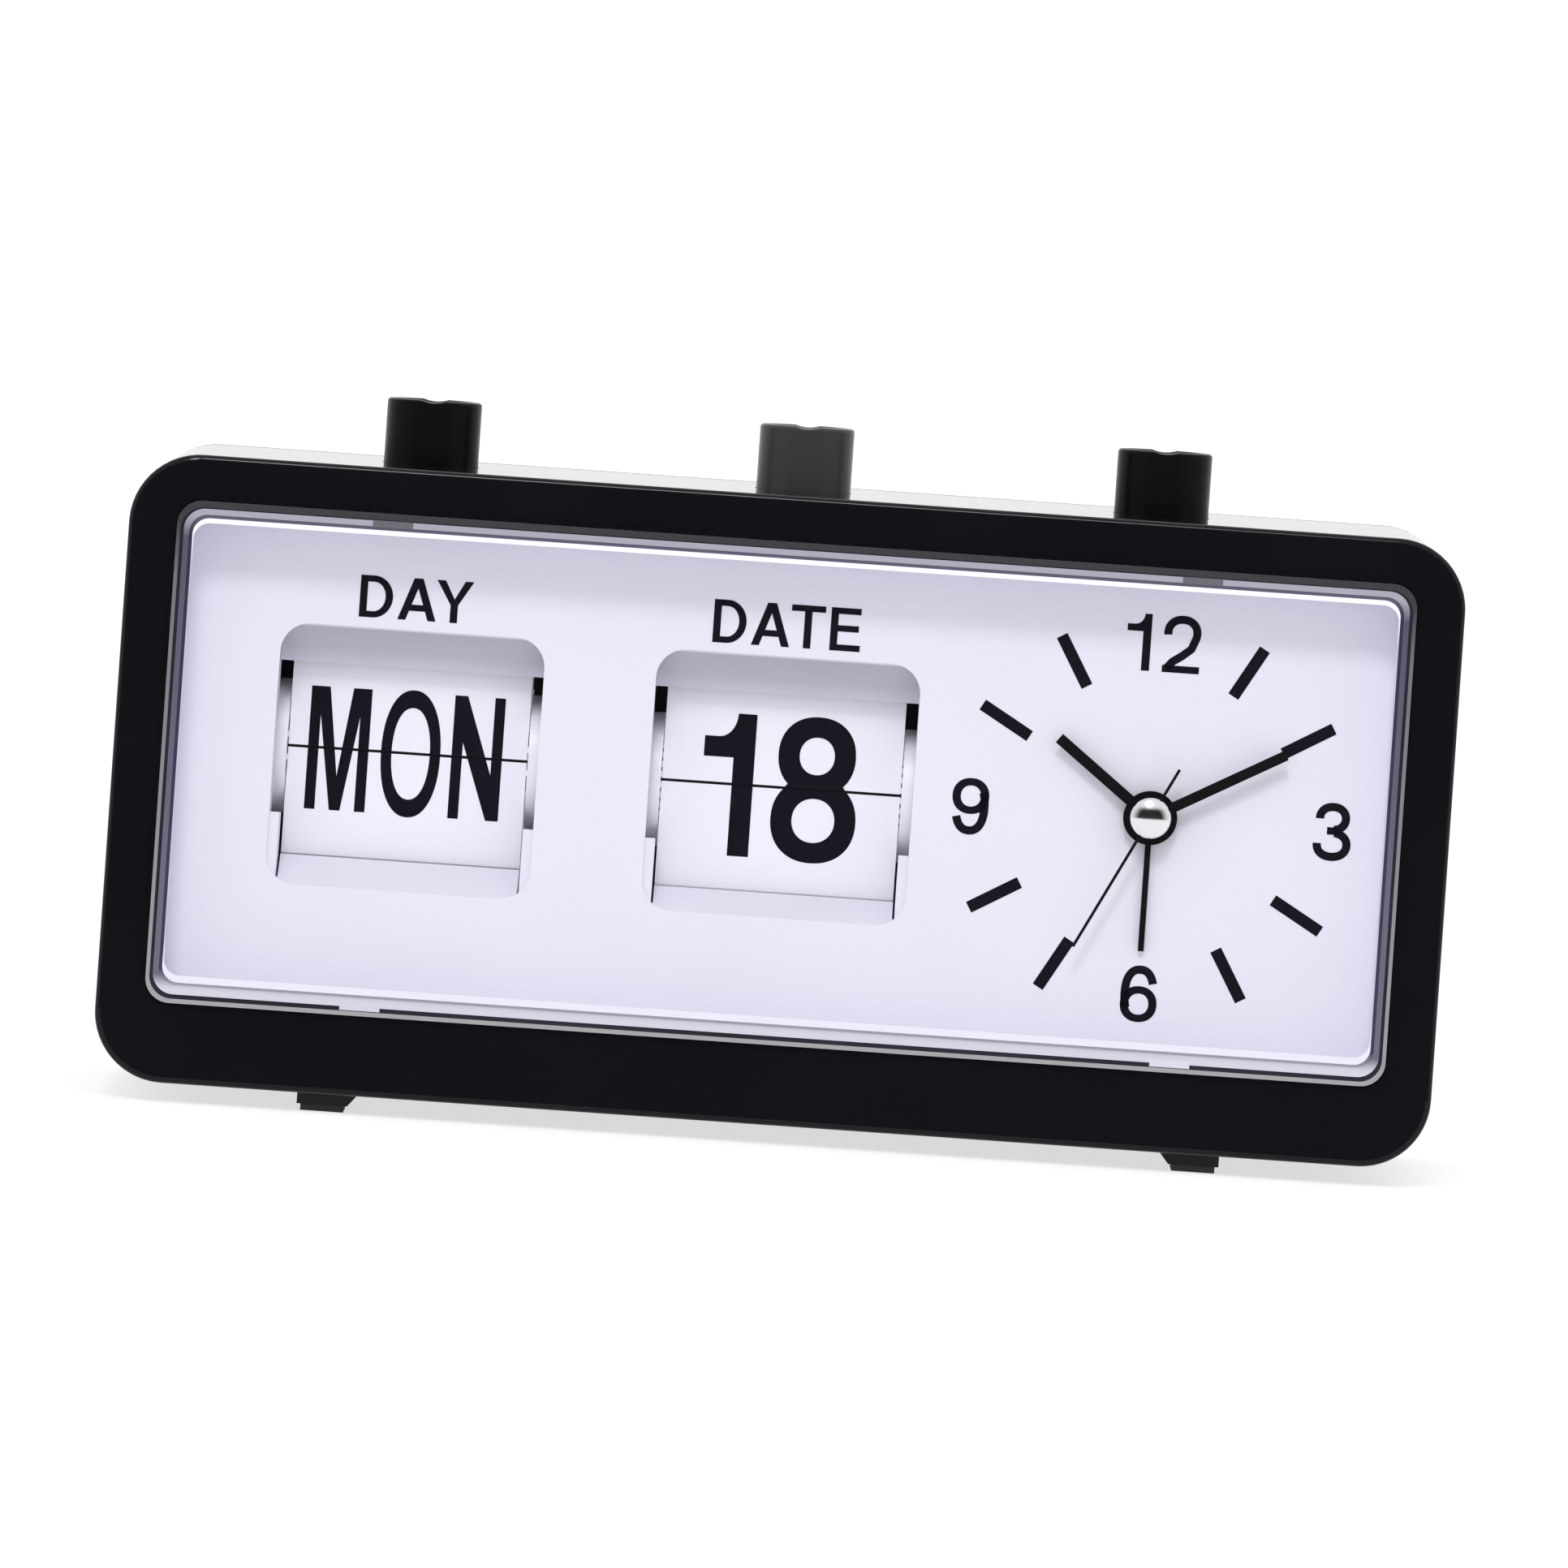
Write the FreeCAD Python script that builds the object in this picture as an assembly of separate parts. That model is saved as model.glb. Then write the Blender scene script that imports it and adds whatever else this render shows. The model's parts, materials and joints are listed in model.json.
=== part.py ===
"""Desk clock with a flip day window, a flip date window and an alarm dial. Lengths in millimetres.

Two frames are used. The row frame has X to the right, Y to the back and Z up, with its origin at the middle
of the footprint on the table. The face frame lies on the leaning front: x to the right, y into the clock
square to the face, z up the face, with its origin at the bottom front edge of the case.

A cut runs PAST the surface it opens, and a piece is SUNK into the one it is fused to.
"""
import FreeCAD
import Part
import math
import os

V = FreeCAD.Vector
X_AXIS = V(1, 0, 0)
Y_AXIS = V(0, 1, 0)
Z_AXIS = V(0, 0, 1)
FAR = 400.0
PAST = 1.0
SUNK = 0.5
NEAR = 0.01

# ---------------------------------------------------------------- case
case_width = 180.0
case_depth = 58.0
case_corner = 9.5
case_wall = 2.5
front_wall = 2.5
face_lean = 3.0
edge_round = 0.8
cover_wall = 2.5
cover_lip = 3.0
lip_thick = 1.5
lip_corner_gap = 1.0
fit_gap = 0.15
foot_height = 2.6
pad_height = 0.9
pad_inset = 0.5
foot_width = 8.2
foot_taper = 1.4
foot_length = 9.0
foot_inset = 31.9
foot_setback = 4.0

# ---------------------------------------------------------------- bezel opening, lens and dial
bezel_side = 6.4
bezel_top = 6.0
opening_bottom = 10.7
opening_height = 67.9
opening_corner = 3.4
lens_proud = 0.8
lens_pane = 1.8
lens_skirt = 2.0
lens_round = 0.6
flange_reach = 1.4
flange_thick = 1.5
flange_end_gap = 6.0
snap_inset = 29.1
snap_width = 5.6
dial_depth = 7.5
dial_thick = 1.5
dial_overhang = 3.2
dial_corner = 6.0
boss_radius = 1.75
screw_radius = 0.8
small_head_radius = 1.4
small_head = 0.9
cross_width = 0.8
dial_skin = 0.5
dial_hole_gap = 0.35
boss_inset = 4.0
boss_clearance = 0.1

# ---------------------------------------------------------------- windows and their leaves
day_x = -50.9
date_x = -0.1
window_gap = 1.65
window_rise_share = 0.252
window_share = 0.52
window_corner = 4.0
tunnel_wall = 1.2
tunnel_depth = 7.0
hood_lip_depth = 1.1
hood_root = 1.7
hood_share = 0.1445
ledge_share = 0.272
ledge_gap = 0.28
ledge_setback = 0.5
sill_gap = 0.2
leaf_width = 32.4
leaf_thick = 0.15
leaf_ear_length = 1.0
leaf_ear_height = 0.8
leaf_plane = 16.1
leaf_split_gap = 0.15
pin_circle = 7.0
pin_hole_radius = 0.5
day_leaves = 14
date_leaves = 31
day_split_share = 0.53
date_split_share = 0.499
day_leaf_share = 0.411
date_leaf_share = 0.402
day_upper_share = 0.343
date_upper_share = 0.377
disc_radius = 9.1
disc_thick = 2.0
disc_gap = 0.15
disc_room = 0.8
pin_hole_spare = 0.3
core_radius = 4.4
ratchet_radius = 8.0
ratchet_tooth = 0.8
ratchet_thick = 2.0
axle_radius = 1.5
running_gap = 0.05
side_gap = 0.45

# ---------------------------------------------------------------- calendar frames
plate_thick = 1.5
plate_reach_behind_axle = 6.0
plate_half_height = 9.0
bar_height = 3.0
bar_depth = 3.0
bar_clearance = 0.8
stake_radius = 1.2
stake_head = 1.0
washer_radius = 2.1
clip_radius = 2.8
clip_thick = 0.4
stake_spread = 12.0

# ---------------------------------------------------------------- clock train and hands
clock_x = 49.8
clock_rise = 0.15
movement_width = 52.0
movement_depth = 14.0
movement_wall = 1.5
movement_cover = 1.5
movement_corner = 3.0
ear_size = 7.0
wheel_module = 0.48
motion_module = 0.5
cannon_teeth = 12
minute_wheel_teeth = 36
minute_pinion_teeth = 10
hour_teeth = 40
alarm_teeth = 40
alarm_pinion_teeth = 16
wheel_thick = 1.2
wheel_gap = 0.4
second_teeth = 30
pivot_skin = 0.5
tooth_share = 0.40
tooth_height = 0.62
tooth_depth = 1.0
second_radius = 0.8
tube_wall = 0.55
alarm_front_gap = 0.6
hand_thick = 0.4
hand_pitch = 0.95
alarm_boss = 3.4
hour_boss = 3.65
minute_boss = 3.1
cap_radius = 2.6
cap_height = 1.1
cap_round = 0.88
cap_overhang = 0.5
hour_length = 16.3
minute_length = 20.2
second_length = 20.2
second_tail = 7.6
alarm_length = 18.0
hour_width = 1.5
minute_width = 1.4
second_width = 0.4
alarm_width = 0.8
hour_angle = 307.4
minute_angle = 61.3
second_angle = 207.2
alarm_angle = 180.0
set_direction = 210.0
alarm_set_direction = 330.0
stem_radius = 1.5
knob_radius = 5.5
knob_thick = 6.5
knob_gap = 0.8
knob_ribs = 18
rib_radius = 0.5
knob_round = 0.8
stem_clearance = 0.6
coil_length = 18.0
coil_radius = 3.0
coil_flange = 0.5
coil_margin = 1.0
board_thick = 1.0
board_above_centre = 9.0

# ---------------------------------------------------------------- push buttons
button_radius = 6.45
button_height = 8.8
button_setback = 27.6
button_dish = 1.0
button_rim = 0.5
button_scoop_width = 3.4
button_scoop_depth = 0.3
button_gap = 0.2
flange_extra = 1.4
button_flange = 1.2
button_stem = 2.0
stem_length = 12.0
pawl_width = 1.0
pawl_thick = 1.2
pawl_gap = 0.15
pawl_bite = 0.35
pawl_hook = 0.5
pawl_side_gap = 0.25
pawl_front_gap = 0.3
pawl_eye = 1.0
arm_height = 2.0
guide_drop = 8.6
guide_thick = 1.6
guide_width = 22.0
guide_depth = 8.0
spring_wire = 0.4
spring_coils = 5
coil_steps = 16
coil_sides = 6
spring_radius = 3.2
day_button_x = -50.8
date_button_x = 0.1
snooze_button_x = 49.0
snooze_travel = 2.0
snooze_switch_width = 6.0
snooze_switch_height = 5.0
shelf_width = 8.0
shelf_thick = 1.6

# ---------------------------------------------------------------- battery, back and fasteners
battery_radius = 7.1
battery_length = 49.2
battery_nub_radius = 2.6
battery_nub = 1.3
bay_wall = 1.5
bay_gap = 0.4
bay_x = -20.0
contact_spring = 3.0
contact_turns = 3
contact_margin = 1.5
contact_thick = 0.4
bay_bottom = 6.2
door_thick = 2.0
door_gap = 0.3
hinge_pin_radius = 1.0
hinge_pin_length = 1.6
hinge_barrel = 1.3
grip_radius = 6.0
grip_depth = 1.0
grip_drop = 3.5
grip_length = 14.0
buzzer_radius = 10.0
buzzer_thick = 3.5
buzzer_inset = 28.0
buzzer_z = 44.0
slot_count = 5
slot_width = 1.4
slot_pitch = 3.2
switch_width = 5.0
switch_height = 3.4
switch_travel = 4.0
switch_drop = 8.4
switch_proud = 1.8
switch_groove = 0.6
switch_flange = 1.2
switch_flange_thick = 1.2
case_screw_radius = 1.3
screw_head_radius = 2.4
screw_head = 1.6
case_screw_length = 9.0
case_boss_radius = 3.4
case_boss_length = 16.0
case_boss_inset = 8.4

# ---------------------------------------------------------------- values worked out from those above
lean = math.radians(face_lean)
opening_width = case_width - 2 * bezel_side
opening_top = opening_bottom + opening_height
opening_middle = opening_bottom + opening_height / 2
face_height = opening_top + bezel_top
foot_offset = case_width / 2 - foot_inset
snap_offset = opening_width / 2 - snap_inset
buzzer_x = -case_width / 2 + buzzer_inset
window_width = leaf_width + 2 * window_gap
window_height = opening_height * window_share
window_bottom = opening_bottom + opening_height * window_rise_share
window_top = window_bottom + window_height
hood_drop = window_height * hood_share
ledge_top = window_bottom + window_height * ledge_share
day_split = window_bottom + window_height * day_split_share
date_split = window_bottom + window_height * date_split_share
day_leaf_length = window_height * day_leaf_share
date_leaf_length = window_height * date_leaf_share
upper_lengths = {"day": window_height * day_upper_share, "date": window_height * date_upper_share}
clock_z = opening_middle + clock_rise
case_height = face_height * math.cos(lean)
case_bottom = foot_height
case_top = case_bottom + case_height
centre_distance = motion_module * (cannon_teeth + minute_wheel_teeth) / 2
pinion_module = 2 * centre_distance / (minute_pinion_teeth + hour_teeth)
alarm_distance = wheel_module * (alarm_teeth + alarm_pinion_teeth) / 2
set_x = clock_x + centre_distance * math.cos(math.radians(set_direction))
set_z = clock_z + centre_distance * math.sin(math.radians(set_direction))
alarm_set_x = clock_x + alarm_distance * math.cos(math.radians(alarm_set_direction))
alarm_set_z = clock_z + alarm_distance * math.sin(math.radians(alarm_set_direction))
knob_start = (case_depth - set_z * math.sin(lean)) / math.cos(lean) + knob_gap + knob_radius * math.tan(lean)
knob_end = knob_start + knob_thick
total_depth = knob_end * math.cos(lean) + (set_z + knob_radius) * math.sin(lean)
front_y = -total_depth / 2
back_y = front_y + case_depth
dial_back = dial_depth + dial_thick
tunnel_end = dial_depth + tunnel_depth
disc_start = leaf_width / 2 + disc_gap
disc_end = disc_start + disc_thick
axle_depth = leaf_plane + pin_circle * math.cos(math.pi / date_leaves)
boss_x = opening_width / 2 + boss_radius + boss_clearance


# ---------------------------------------------------------------- building blocks
def box(x0, x1, y0, y1, z0, z1):
    return Part.makeBox(x1 - x0, y1 - y0, z1 - z0, V(x0, y0, z0))


def rod_y(x, z, y0, y1, radius):
    """Cylinder along y."""
    return Part.makeCylinder(radius, y1 - y0, V(x, y0, z), Y_AXIS)


def rod_x(y, z, x0, x1, radius):
    """Cylinder along x."""
    return Part.makeCylinder(radius, x1 - x0, V(x0, y, z), X_AXIS)


def rod_z(x, y, z0, z1, radius):
    """Cylinder along z."""
    return Part.makeCylinder(radius, z1 - z0, V(x, y, z0), Z_AXIS)


def edges_along(shape, axis):
    """Straight edges of a shape that run along an axis."""
    found = []
    for edge in shape.Edges:
        if edge.Curve.TypeId != "Part::GeomLine":
            continue
        if abs(edge.tangentAt(edge.FirstParameter).dot(axis)) > 1 - NEAR:
            found.append(edge)
    return found


def rim_at_y(shape, y):
    """Edges of a shape that start and end at one depth."""
    found = []
    for edge in shape.Edges:
        ends = (edge.valueAt(edge.FirstParameter).y, edge.valueAt(edge.LastParameter).y)
        if max(abs(end - y) for end in ends) < NEAR:
            found.append(edge)
    return found


def circles_at(shape, height, axis):
    """Round edges of a shape whose middle lies at a height along an axis."""
    found = []
    for edge in shape.Edges:
        if edge.Curve.TypeId == "Part::GeomCircle" and abs(edge.Curve.Center.dot(axis) - height) < NEAR:
            found.append(edge)
    return found


def slab(x0, x1, z0, z1, radius, y0, y1):
    """Rounded rectangle in x and z, thick in y."""
    block = box(x0, x1, y0, y1, z0, z1)
    return block.makeFillet(radius, edges_along(block, Y_AXIS))


def prism_x(points, x0, x1):
    """Polygon of (y, z) points drawn out along x."""
    corners = [V(x0, y, z) for y, z in points]
    face = Part.Face(Part.makePolygon(corners + corners[:1]))
    return face.extrude(V(x1 - x0, 0, 0))


def prism_y(points, y0, y1):
    """Polygon of (x, z) points drawn out along y."""
    corners = [V(x, y0, z) for x, z in points]
    face = Part.Face(Part.makePolygon(corners + corners[:1]))
    return face.extrude(V(0, y1 - y0, 0))


def joined(shapes):
    """One shape from several that touch or overlap."""
    whole = shapes[0].multiFuse(shapes[1:])
    return whole.removeSplitter()


def group(shapes):
    """Separate solids kept in one node."""
    return Part.makeCompound(shapes)


def on_face(shape):
    """Takes a shape from the face frame to the row frame."""
    placed = shape.copy()
    placed.rotate(V(0, 0, 0), X_AXIS, -face_lean)
    placed.translate(V(0, front_y, case_bottom))
    return placed


def gear(x, z, y0, y1, module, teeth, phase):
    """Spur gear along y. A tooth's middle points at phase degrees in the x-z plane."""
    pitch = module * teeth / 2
    tip = pitch + tooth_height * module
    root = pitch - tooth_depth * module
    half = tooth_share * math.pi * module / 2
    slope = math.tan(math.radians(20))
    points = []
    for number in range(teeth):
        middle = math.radians(phase) + 2 * math.pi * number / teeth
        for radius, side in ((root, -1), (tip, -1), (tip, 1), (root, 1)):
            wide = half + (pitch - radius) * slope
            angle = middle + side * wide / radius
            points.append((x + radius * math.cos(angle), z + radius * math.sin(angle)))
    return prism_y(points, y0, y1)


def between(middle, side, near, far):
    """Two values in rising order, at distances from a middle on one side."""
    return min(middle + side * near, middle + side * far), max(middle + side * near, middle + side * far)


def polar(x, z, radius, clock_degrees):
    """Point at a clock-face angle, measured clockwise from the top."""
    angle = math.radians(clock_degrees)
    return x + radius * math.sin(angle), z + radius * math.cos(angle)


# ---------------------------------------------------------------- case
def case_solid(inset, y_end):
    """The case's rounded box, drawn in by an inset, from well in front of the face to y_end."""
    half = case_width / 2 - inset
    return slab(-half, half, case_bottom + inset, case_top - inset, case_corner - inset,
                front_y - case_depth, y_end)


def before_face(depth):
    """Everything nearer the viewer than a depth behind the face."""
    return on_face(box(-FAR, FAR, -FAR, depth, -FAR, FAR))


def case_boss_places():
    """Corner places of the bosses that take the cover's screws, in x and z."""
    reach_x = case_width / 2 - case_boss_inset
    low = case_bottom + case_boss_inset
    high = case_top - case_boss_inset
    return [(-reach_x, low), (reach_x, low), (-reach_x, high), (reach_x, high)]


def dial_boss_places():
    """Places of the small bosses beside the opening that hold the dial, in the face frame."""
    spots = []
    for x in (-boss_x, boss_x):
        for z in (opening_bottom + boss_inset, opening_top - boss_inset):
            spots.append((x, z))
    return spots


def button_places():
    return {"day": day_button_x, "date": date_button_x, "snooze": snooze_button_x}


def button_y():
    """Depth of the buttons' axes, behind the face's top edge."""
    return front_y + face_height * math.sin(lean) + button_setback


def make_front_case():
    sleeve_end = back_y - cover_wall
    shell = case_solid(0, sleeve_end).cut(before_face(0))
    front_edges = []
    for edge in shell.Edges:
        middle = edge.valueAt((edge.FirstParameter + edge.LastParameter) / 2)
        across = (middle.y - front_y) * math.cos(lean) - (middle.z - case_bottom) * math.sin(lean)
        if abs(across) < NEAR:
            front_edges.append(edge)
    shell = shell.makeFillet(edge_round, front_edges)
    cavity = case_solid(case_wall, sleeve_end + PAST).cut(before_face(front_wall))
    shell = shell.cut(cavity)
    opening = slab(-opening_width / 2, opening_width / 2, opening_bottom, opening_top, opening_corner,
                   -front_wall, 2 * front_wall)
    shell = shell.cut(on_face(opening))
    bosses = []
    for x, z in dial_boss_places():
        boss = rod_y(x, z, front_wall - SUNK, dial_depth, boss_radius)
        bosses.append(on_face(boss))
    inside = case_solid(case_wall / 2, sleeve_end)
    for x, z in case_boss_places():
        column = rod_y(x, z, sleeve_end - case_boss_length, sleeve_end, case_boss_radius)
        toward_x = math.copysign(case_boss_inset, x)
        toward_z = math.copysign(case_boss_inset, z - (case_bottom + case_top) / 2)
        web_x = box(min(x, x + toward_x), max(x, x + toward_x), sleeve_end - case_boss_length, sleeve_end,
                    z - plate_thick / 2, z + plate_thick / 2)
        web_z = box(x - plate_thick / 2, x + plate_thick / 2, sleeve_end - case_boss_length, sleeve_end,
                    min(z, z + toward_z), max(z, z + toward_z))
        bosses.append(column.multiFuse([web_x, web_z]).common(inside))
    shell = shell.multiFuse(bosses)
    cuts = []
    for x, z in dial_boss_places():
        cuts.append(on_face(rod_y(x, z, front_wall + SUNK, dial_depth + PAST, screw_radius)))
    for x, z in case_boss_places():
        cuts.append(rod_y(x, z, sleeve_end - case_screw_length, sleeve_end + PAST, case_screw_radius))
    for x in button_places().values():
        cuts.append(rod_z(x, button_y(), case_top - case_wall - PAST, case_top + PAST,
                          button_radius + button_gap))
    return shell.cut(group(cuts)).removeSplitter()


def foot_places():
    """Near corner of each foot in y, and the side it stands on."""
    front = front_y + foot_setback
    rear = back_y - cover_wall - foot_setback - foot_length
    return [(side, y) for side in (-1, 1) for y in (front, rear)]


def make_feet():
    """Feet moulded under the case: upright outside, slanted inside."""
    feet = []
    outer = foot_offset + foot_width / 2
    inner = foot_offset - foot_width / 2
    root = case_bottom + case_wall / 2
    for side, y in foot_places():
        outline = [(side * outer, pad_height), (side * outer, root), (side * inner, root),
                   (side * inner, case_bottom), (side * (inner + foot_taper), pad_height)]
        feet.append(prism_y(outline, y, y + foot_length))
    return feet


def make_foot_pads():
    pads = []
    outer = foot_offset + foot_width / 2 - pad_inset
    inner = foot_offset - foot_width / 2 + foot_taper + pad_inset
    for side, y in foot_places():
        pads.append(box(min(side * inner, side * outer), max(side * inner, side * outer),
                        y + pad_inset, y + foot_length - pad_inset, 0, pad_height))
    return group(pads)


# ---------------------------------------------------------------- rear cover
def bay_place():
    """Battery axis (y, z) and the bay's inner ends in x."""
    middle_y = back_y - door_thick - bay_gap - battery_radius
    middle_z = bay_bottom + bay_wall + bay_gap + battery_radius
    half = (battery_length + battery_nub + contact_spring) / 2 + contact_thick
    return middle_y, middle_z, bay_x - half, bay_x + half


def door_span():
    """Lowest and highest point of the battery door."""
    middle_y, middle_z, left, right = bay_place()
    return middle_z - battery_radius, middle_z + battery_radius


def stem_hole(x, z):
    """Slanted clearance hole for a setting stem, through the rear cover."""
    start = (case_depth - 2 * cover_lip) / math.cos(lean) - z * math.tan(lean)
    return on_face(rod_y(x, z, start - stem_radius, knob_end, stem_radius + stem_clearance))


def make_rear_cover():
    start = back_y - cover_wall
    half = case_width / 2
    plate = slab(-half, half, case_bottom, case_top, case_corner, start, back_y)
    plate = plate.makeFillet(edge_round, rim_at_y(plate, back_y))
    lip_outer = case_wall + fit_gap
    lip_inner = lip_outer + lip_thick
    corner = case_boss_inset + case_boss_radius + lip_corner_gap
    lip_x = half - corner
    low = case_bottom + corner
    high = case_top - corner
    pieces = [plate]
    for z0 in (case_bottom + lip_outer, case_top - lip_inner):
        pieces.append(box(-lip_x, lip_x, start - cover_lip, start, z0, z0 + lip_thick))
    for x0 in (-half + lip_outer, half - lip_inner):
        pieces.append(box(x0, x0 + lip_thick, start - cover_lip, start, low, high))
    middle_y, middle_z, left, right = bay_place()
    bay_front = middle_y - battery_radius - bay_gap
    bay_low = middle_z - battery_radius - bay_gap
    bay_high = middle_z + battery_radius + bay_gap
    pieces.append(box(left - bay_wall, right + bay_wall, bay_front - bay_wall, start,
                      bay_low - bay_wall, bay_high + bay_wall))
    shelf_top = snooze_switch_top() - snooze_switch_height
    pieces.append(box(snooze_button_x - shelf_width / 2, snooze_button_x + shelf_width / 2,
                      button_y() - shelf_width / 2, start, shelf_top - shelf_thick, shelf_top))
    rail = switch_height / 2 + switch_flange + fit_gap
    for side in (-1, 1):
        z0, z1 = between(switch_z(), side, rail, rail + lip_thick)
        pieces.append(box(switch_x() - switch_reach(), switch_x() + switch_travel + switch_reach(),
                          start - switch_flange_thick - 2 * fit_gap, start, z0, z1))
    for side in (-1, 1):
        z0, z1 = between(buzzer_z, side, buzzer_radius, buzzer_radius + lip_thick)
        pieces.append(box(buzzer_x - lip_thick, buzzer_x + lip_thick, start - buzzer_thick, start, z0, z1))
    cover = joined(pieces)
    cuts = [box(left, right, bay_front, back_y + PAST, bay_low, bay_high)]
    door_low, door_high = door_span()
    cuts.append(box(left - door_gap, right + door_gap, back_y - cover_wall - fit_gap, back_y + PAST,
                    door_low - door_gap, door_high + door_gap))
    pivot_y = back_y - hinge_barrel
    pivot_z = door_low + hinge_barrel
    pin_reach = door_gap + hinge_pin_length
    cuts.append(rod_x(pivot_y, pivot_z, left - pin_reach, right + pin_reach, hinge_pin_radius + running_gap))
    for x, z in case_boss_places():
        cuts.append(rod_y(x, z, start - PAST, back_y + PAST, case_screw_radius + running_gap))
        cuts.append(rod_y(x, z, back_y - screw_head, back_y + PAST, screw_head_radius + fit_gap))
    cuts.append(stem_hole(set_x, set_z))
    cuts.append(stem_hole(alarm_set_x, alarm_set_z))
    for number in range(slot_count):
        z = buzzer_z + (number - (slot_count - 1) / 2) * slot_pitch
        reach = math.sqrt(buzzer_radius ** 2 - (z - buzzer_z) ** 2) - slot_width
        cuts.append(box(buzzer_x - reach, buzzer_x + reach, start - PAST, back_y + PAST,
                        z - slot_width / 2, z + slot_width / 2))
    half_width = switch_width / 2 + fit_gap
    half_height = switch_height / 2 + fit_gap
    cuts.append(box(switch_x() - half_width, switch_x() + switch_travel + half_width,
                    start - PAST, back_y + PAST, switch_z() - half_height, switch_z() + half_height))
    return cover.cut(group(cuts)).removeSplitter()


def switch_x():
    """The alarm switch's middle when the alarm is off."""
    return clock_x - switch_travel / 2


def switch_z():
    """Height of the alarm switch, below the shelf that carries the snooze switch."""
    return snooze_switch_top() - snooze_switch_height - shelf_thick - switch_drop


def switch_reach():
    """Half the length of the switch's inner plate."""
    return switch_width / 2 + switch_travel + switch_flange


def make_alarm_switch():
    start = back_y - cover_wall
    thumb = box(switch_x() - switch_width / 2, switch_x() + switch_width / 2, start - switch_flange_thick,
                back_y + switch_proud, switch_z() - switch_height / 2, switch_z() + switch_height / 2)
    half_height = switch_height / 2 + switch_flange
    inner = box(switch_x() - switch_reach(), switch_x() + switch_reach(),
                start - switch_flange_thick - running_gap, start - running_gap,
                switch_z() - half_height, switch_z() + half_height)
    switch = joined([thumb, inner])
    grooves = []
    for number in (-1, 0, 1):
        x = switch_x() + number * switch_width / 4
        grooves.append(box(x - switch_groove / 2, x + switch_groove / 2, back_y + switch_proud / 2,
                           back_y + switch_proud + PAST, -FAR, FAR))
    return switch.cut(group(grooves))


def make_battery_door():
    middle_y, middle_z, left, right = bay_place()
    low, high = door_span()
    pivot_y = back_y - hinge_barrel
    pivot_z = low + hinge_barrel
    plate = box(left, right, back_y - door_thick, back_y, pivot_z, high)
    barrel = rod_x(pivot_y, pivot_z, left, right, hinge_barrel)
    pins = rod_x(pivot_y, pivot_z, left - hinge_pin_length, right + hinge_pin_length, hinge_pin_radius)
    door = joined([plate, barrel, pins])
    grip = rod_x(back_y + grip_radius - grip_depth, high - grip_drop, bay_x - grip_length / 2,
                 bay_x + grip_length / 2, grip_radius)
    return door.cut(grip)


def make_battery():
    middle_y, middle_z, left, right = bay_place()
    start = left + contact_thick + contact_spring
    body = rod_x(middle_y, middle_z, start, start + battery_length, battery_radius)
    rims = [edge for edge in body.Edges if edge.Curve.TypeId == "Part::GeomCircle"]
    body = body.makeFillet(edge_round, rims)
    end = start + battery_length
    nub = rod_x(middle_y, middle_z, end - PAST, end + battery_nub, battery_nub_radius)
    return joined([body, nub])


def coil(radius, wire, turns, z0, z1):
    """Helical spring standing on z0 and reaching z1, as a many-sided wire."""
    height = z1 - z0 - wire
    steps = turns * coil_steps
    slope = math.atan2(height / turns, 2 * math.pi * radius)
    rings = []
    for step in range(steps + 1):
        turn = 2 * math.pi * step / coil_steps
        outward = V(math.cos(turn), math.sin(turn), 0)
        upward = V(math.sin(turn) * math.sin(slope), -math.cos(turn) * math.sin(slope), math.cos(slope))
        middle = outward * radius + V(0, 0, z0 + wire / 2 + height * step / steps)
        ring = []
        for side in range(coil_sides):
            angle = 2 * math.pi * side / coil_sides
            ring.append(middle + (outward * math.cos(angle) + upward * math.sin(angle)) * (wire / 2))
        rings.append(ring)
    faces = [polygon_face(rings[0]), polygon_face(rings[-1])]
    for near, far in zip(rings, rings[1:]):
        for side in range(coil_sides):
            after = (side + 1) % coil_sides
            faces.append(polygon_face([near[side], near[after], far[after]]))
            faces.append(polygon_face([near[side], far[after], far[side]]))
    spring = Part.makeSolid(Part.makeShell(faces))
    if spring.Volume < 0:
        spring.reverse()
    return spring


def polygon_face(corners):
    return Part.Face(Part.makePolygon(corners + corners[:1]))


def make_battery_contacts():
    middle_y, middle_z, left, right = bay_place()
    reach = battery_radius - contact_margin
    plates = []
    for x in (left, right - contact_thick):
        plates.append(box(x, x + contact_thick, middle_y - reach, middle_y + reach,
                          middle_z - reach, middle_z + reach))
    spring = coil(battery_nub_radius, spring_wire, contact_turns, 0, contact_spring)
    spring.rotate(V(0, 0, 0), Y_AXIS, 90)
    spring.translate(V(left + contact_thick, middle_y, middle_z))
    return group(plates + [spring])


def make_buzzer():
    start = back_y - cover_wall
    ring = rod_y(buzzer_x, buzzer_z, start - buzzer_thick, start, buzzer_radius)
    opening = rod_y(buzzer_x, buzzer_z, start - buzzer_thick / 2, start + PAST, buzzer_radius - lip_thick)
    return ring.cut(opening)


def make_case_screws():
    screws = []
    for x, z in case_boss_places():
        seat = back_y - screw_head
        head = rod_y(x, z, seat, back_y, screw_head_radius)
        shank = rod_y(x, z, seat - case_screw_length, seat + SUNK, case_screw_radius)
        slot_half = screw_head_radius - SUNK
        cross = group([box(x - slot_half, x + slot_half, back_y - screw_head / 2, back_y + PAST,
                           z - cross_width / 2, z + cross_width / 2),
                       box(x - cross_width / 2, x + cross_width / 2, back_y - screw_head / 2, back_y + PAST,
                           z - slot_half, z + slot_half)])
        screws.append(head.fuse(shank).cut(cross).removeSplitter())
    return group(screws)


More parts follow.
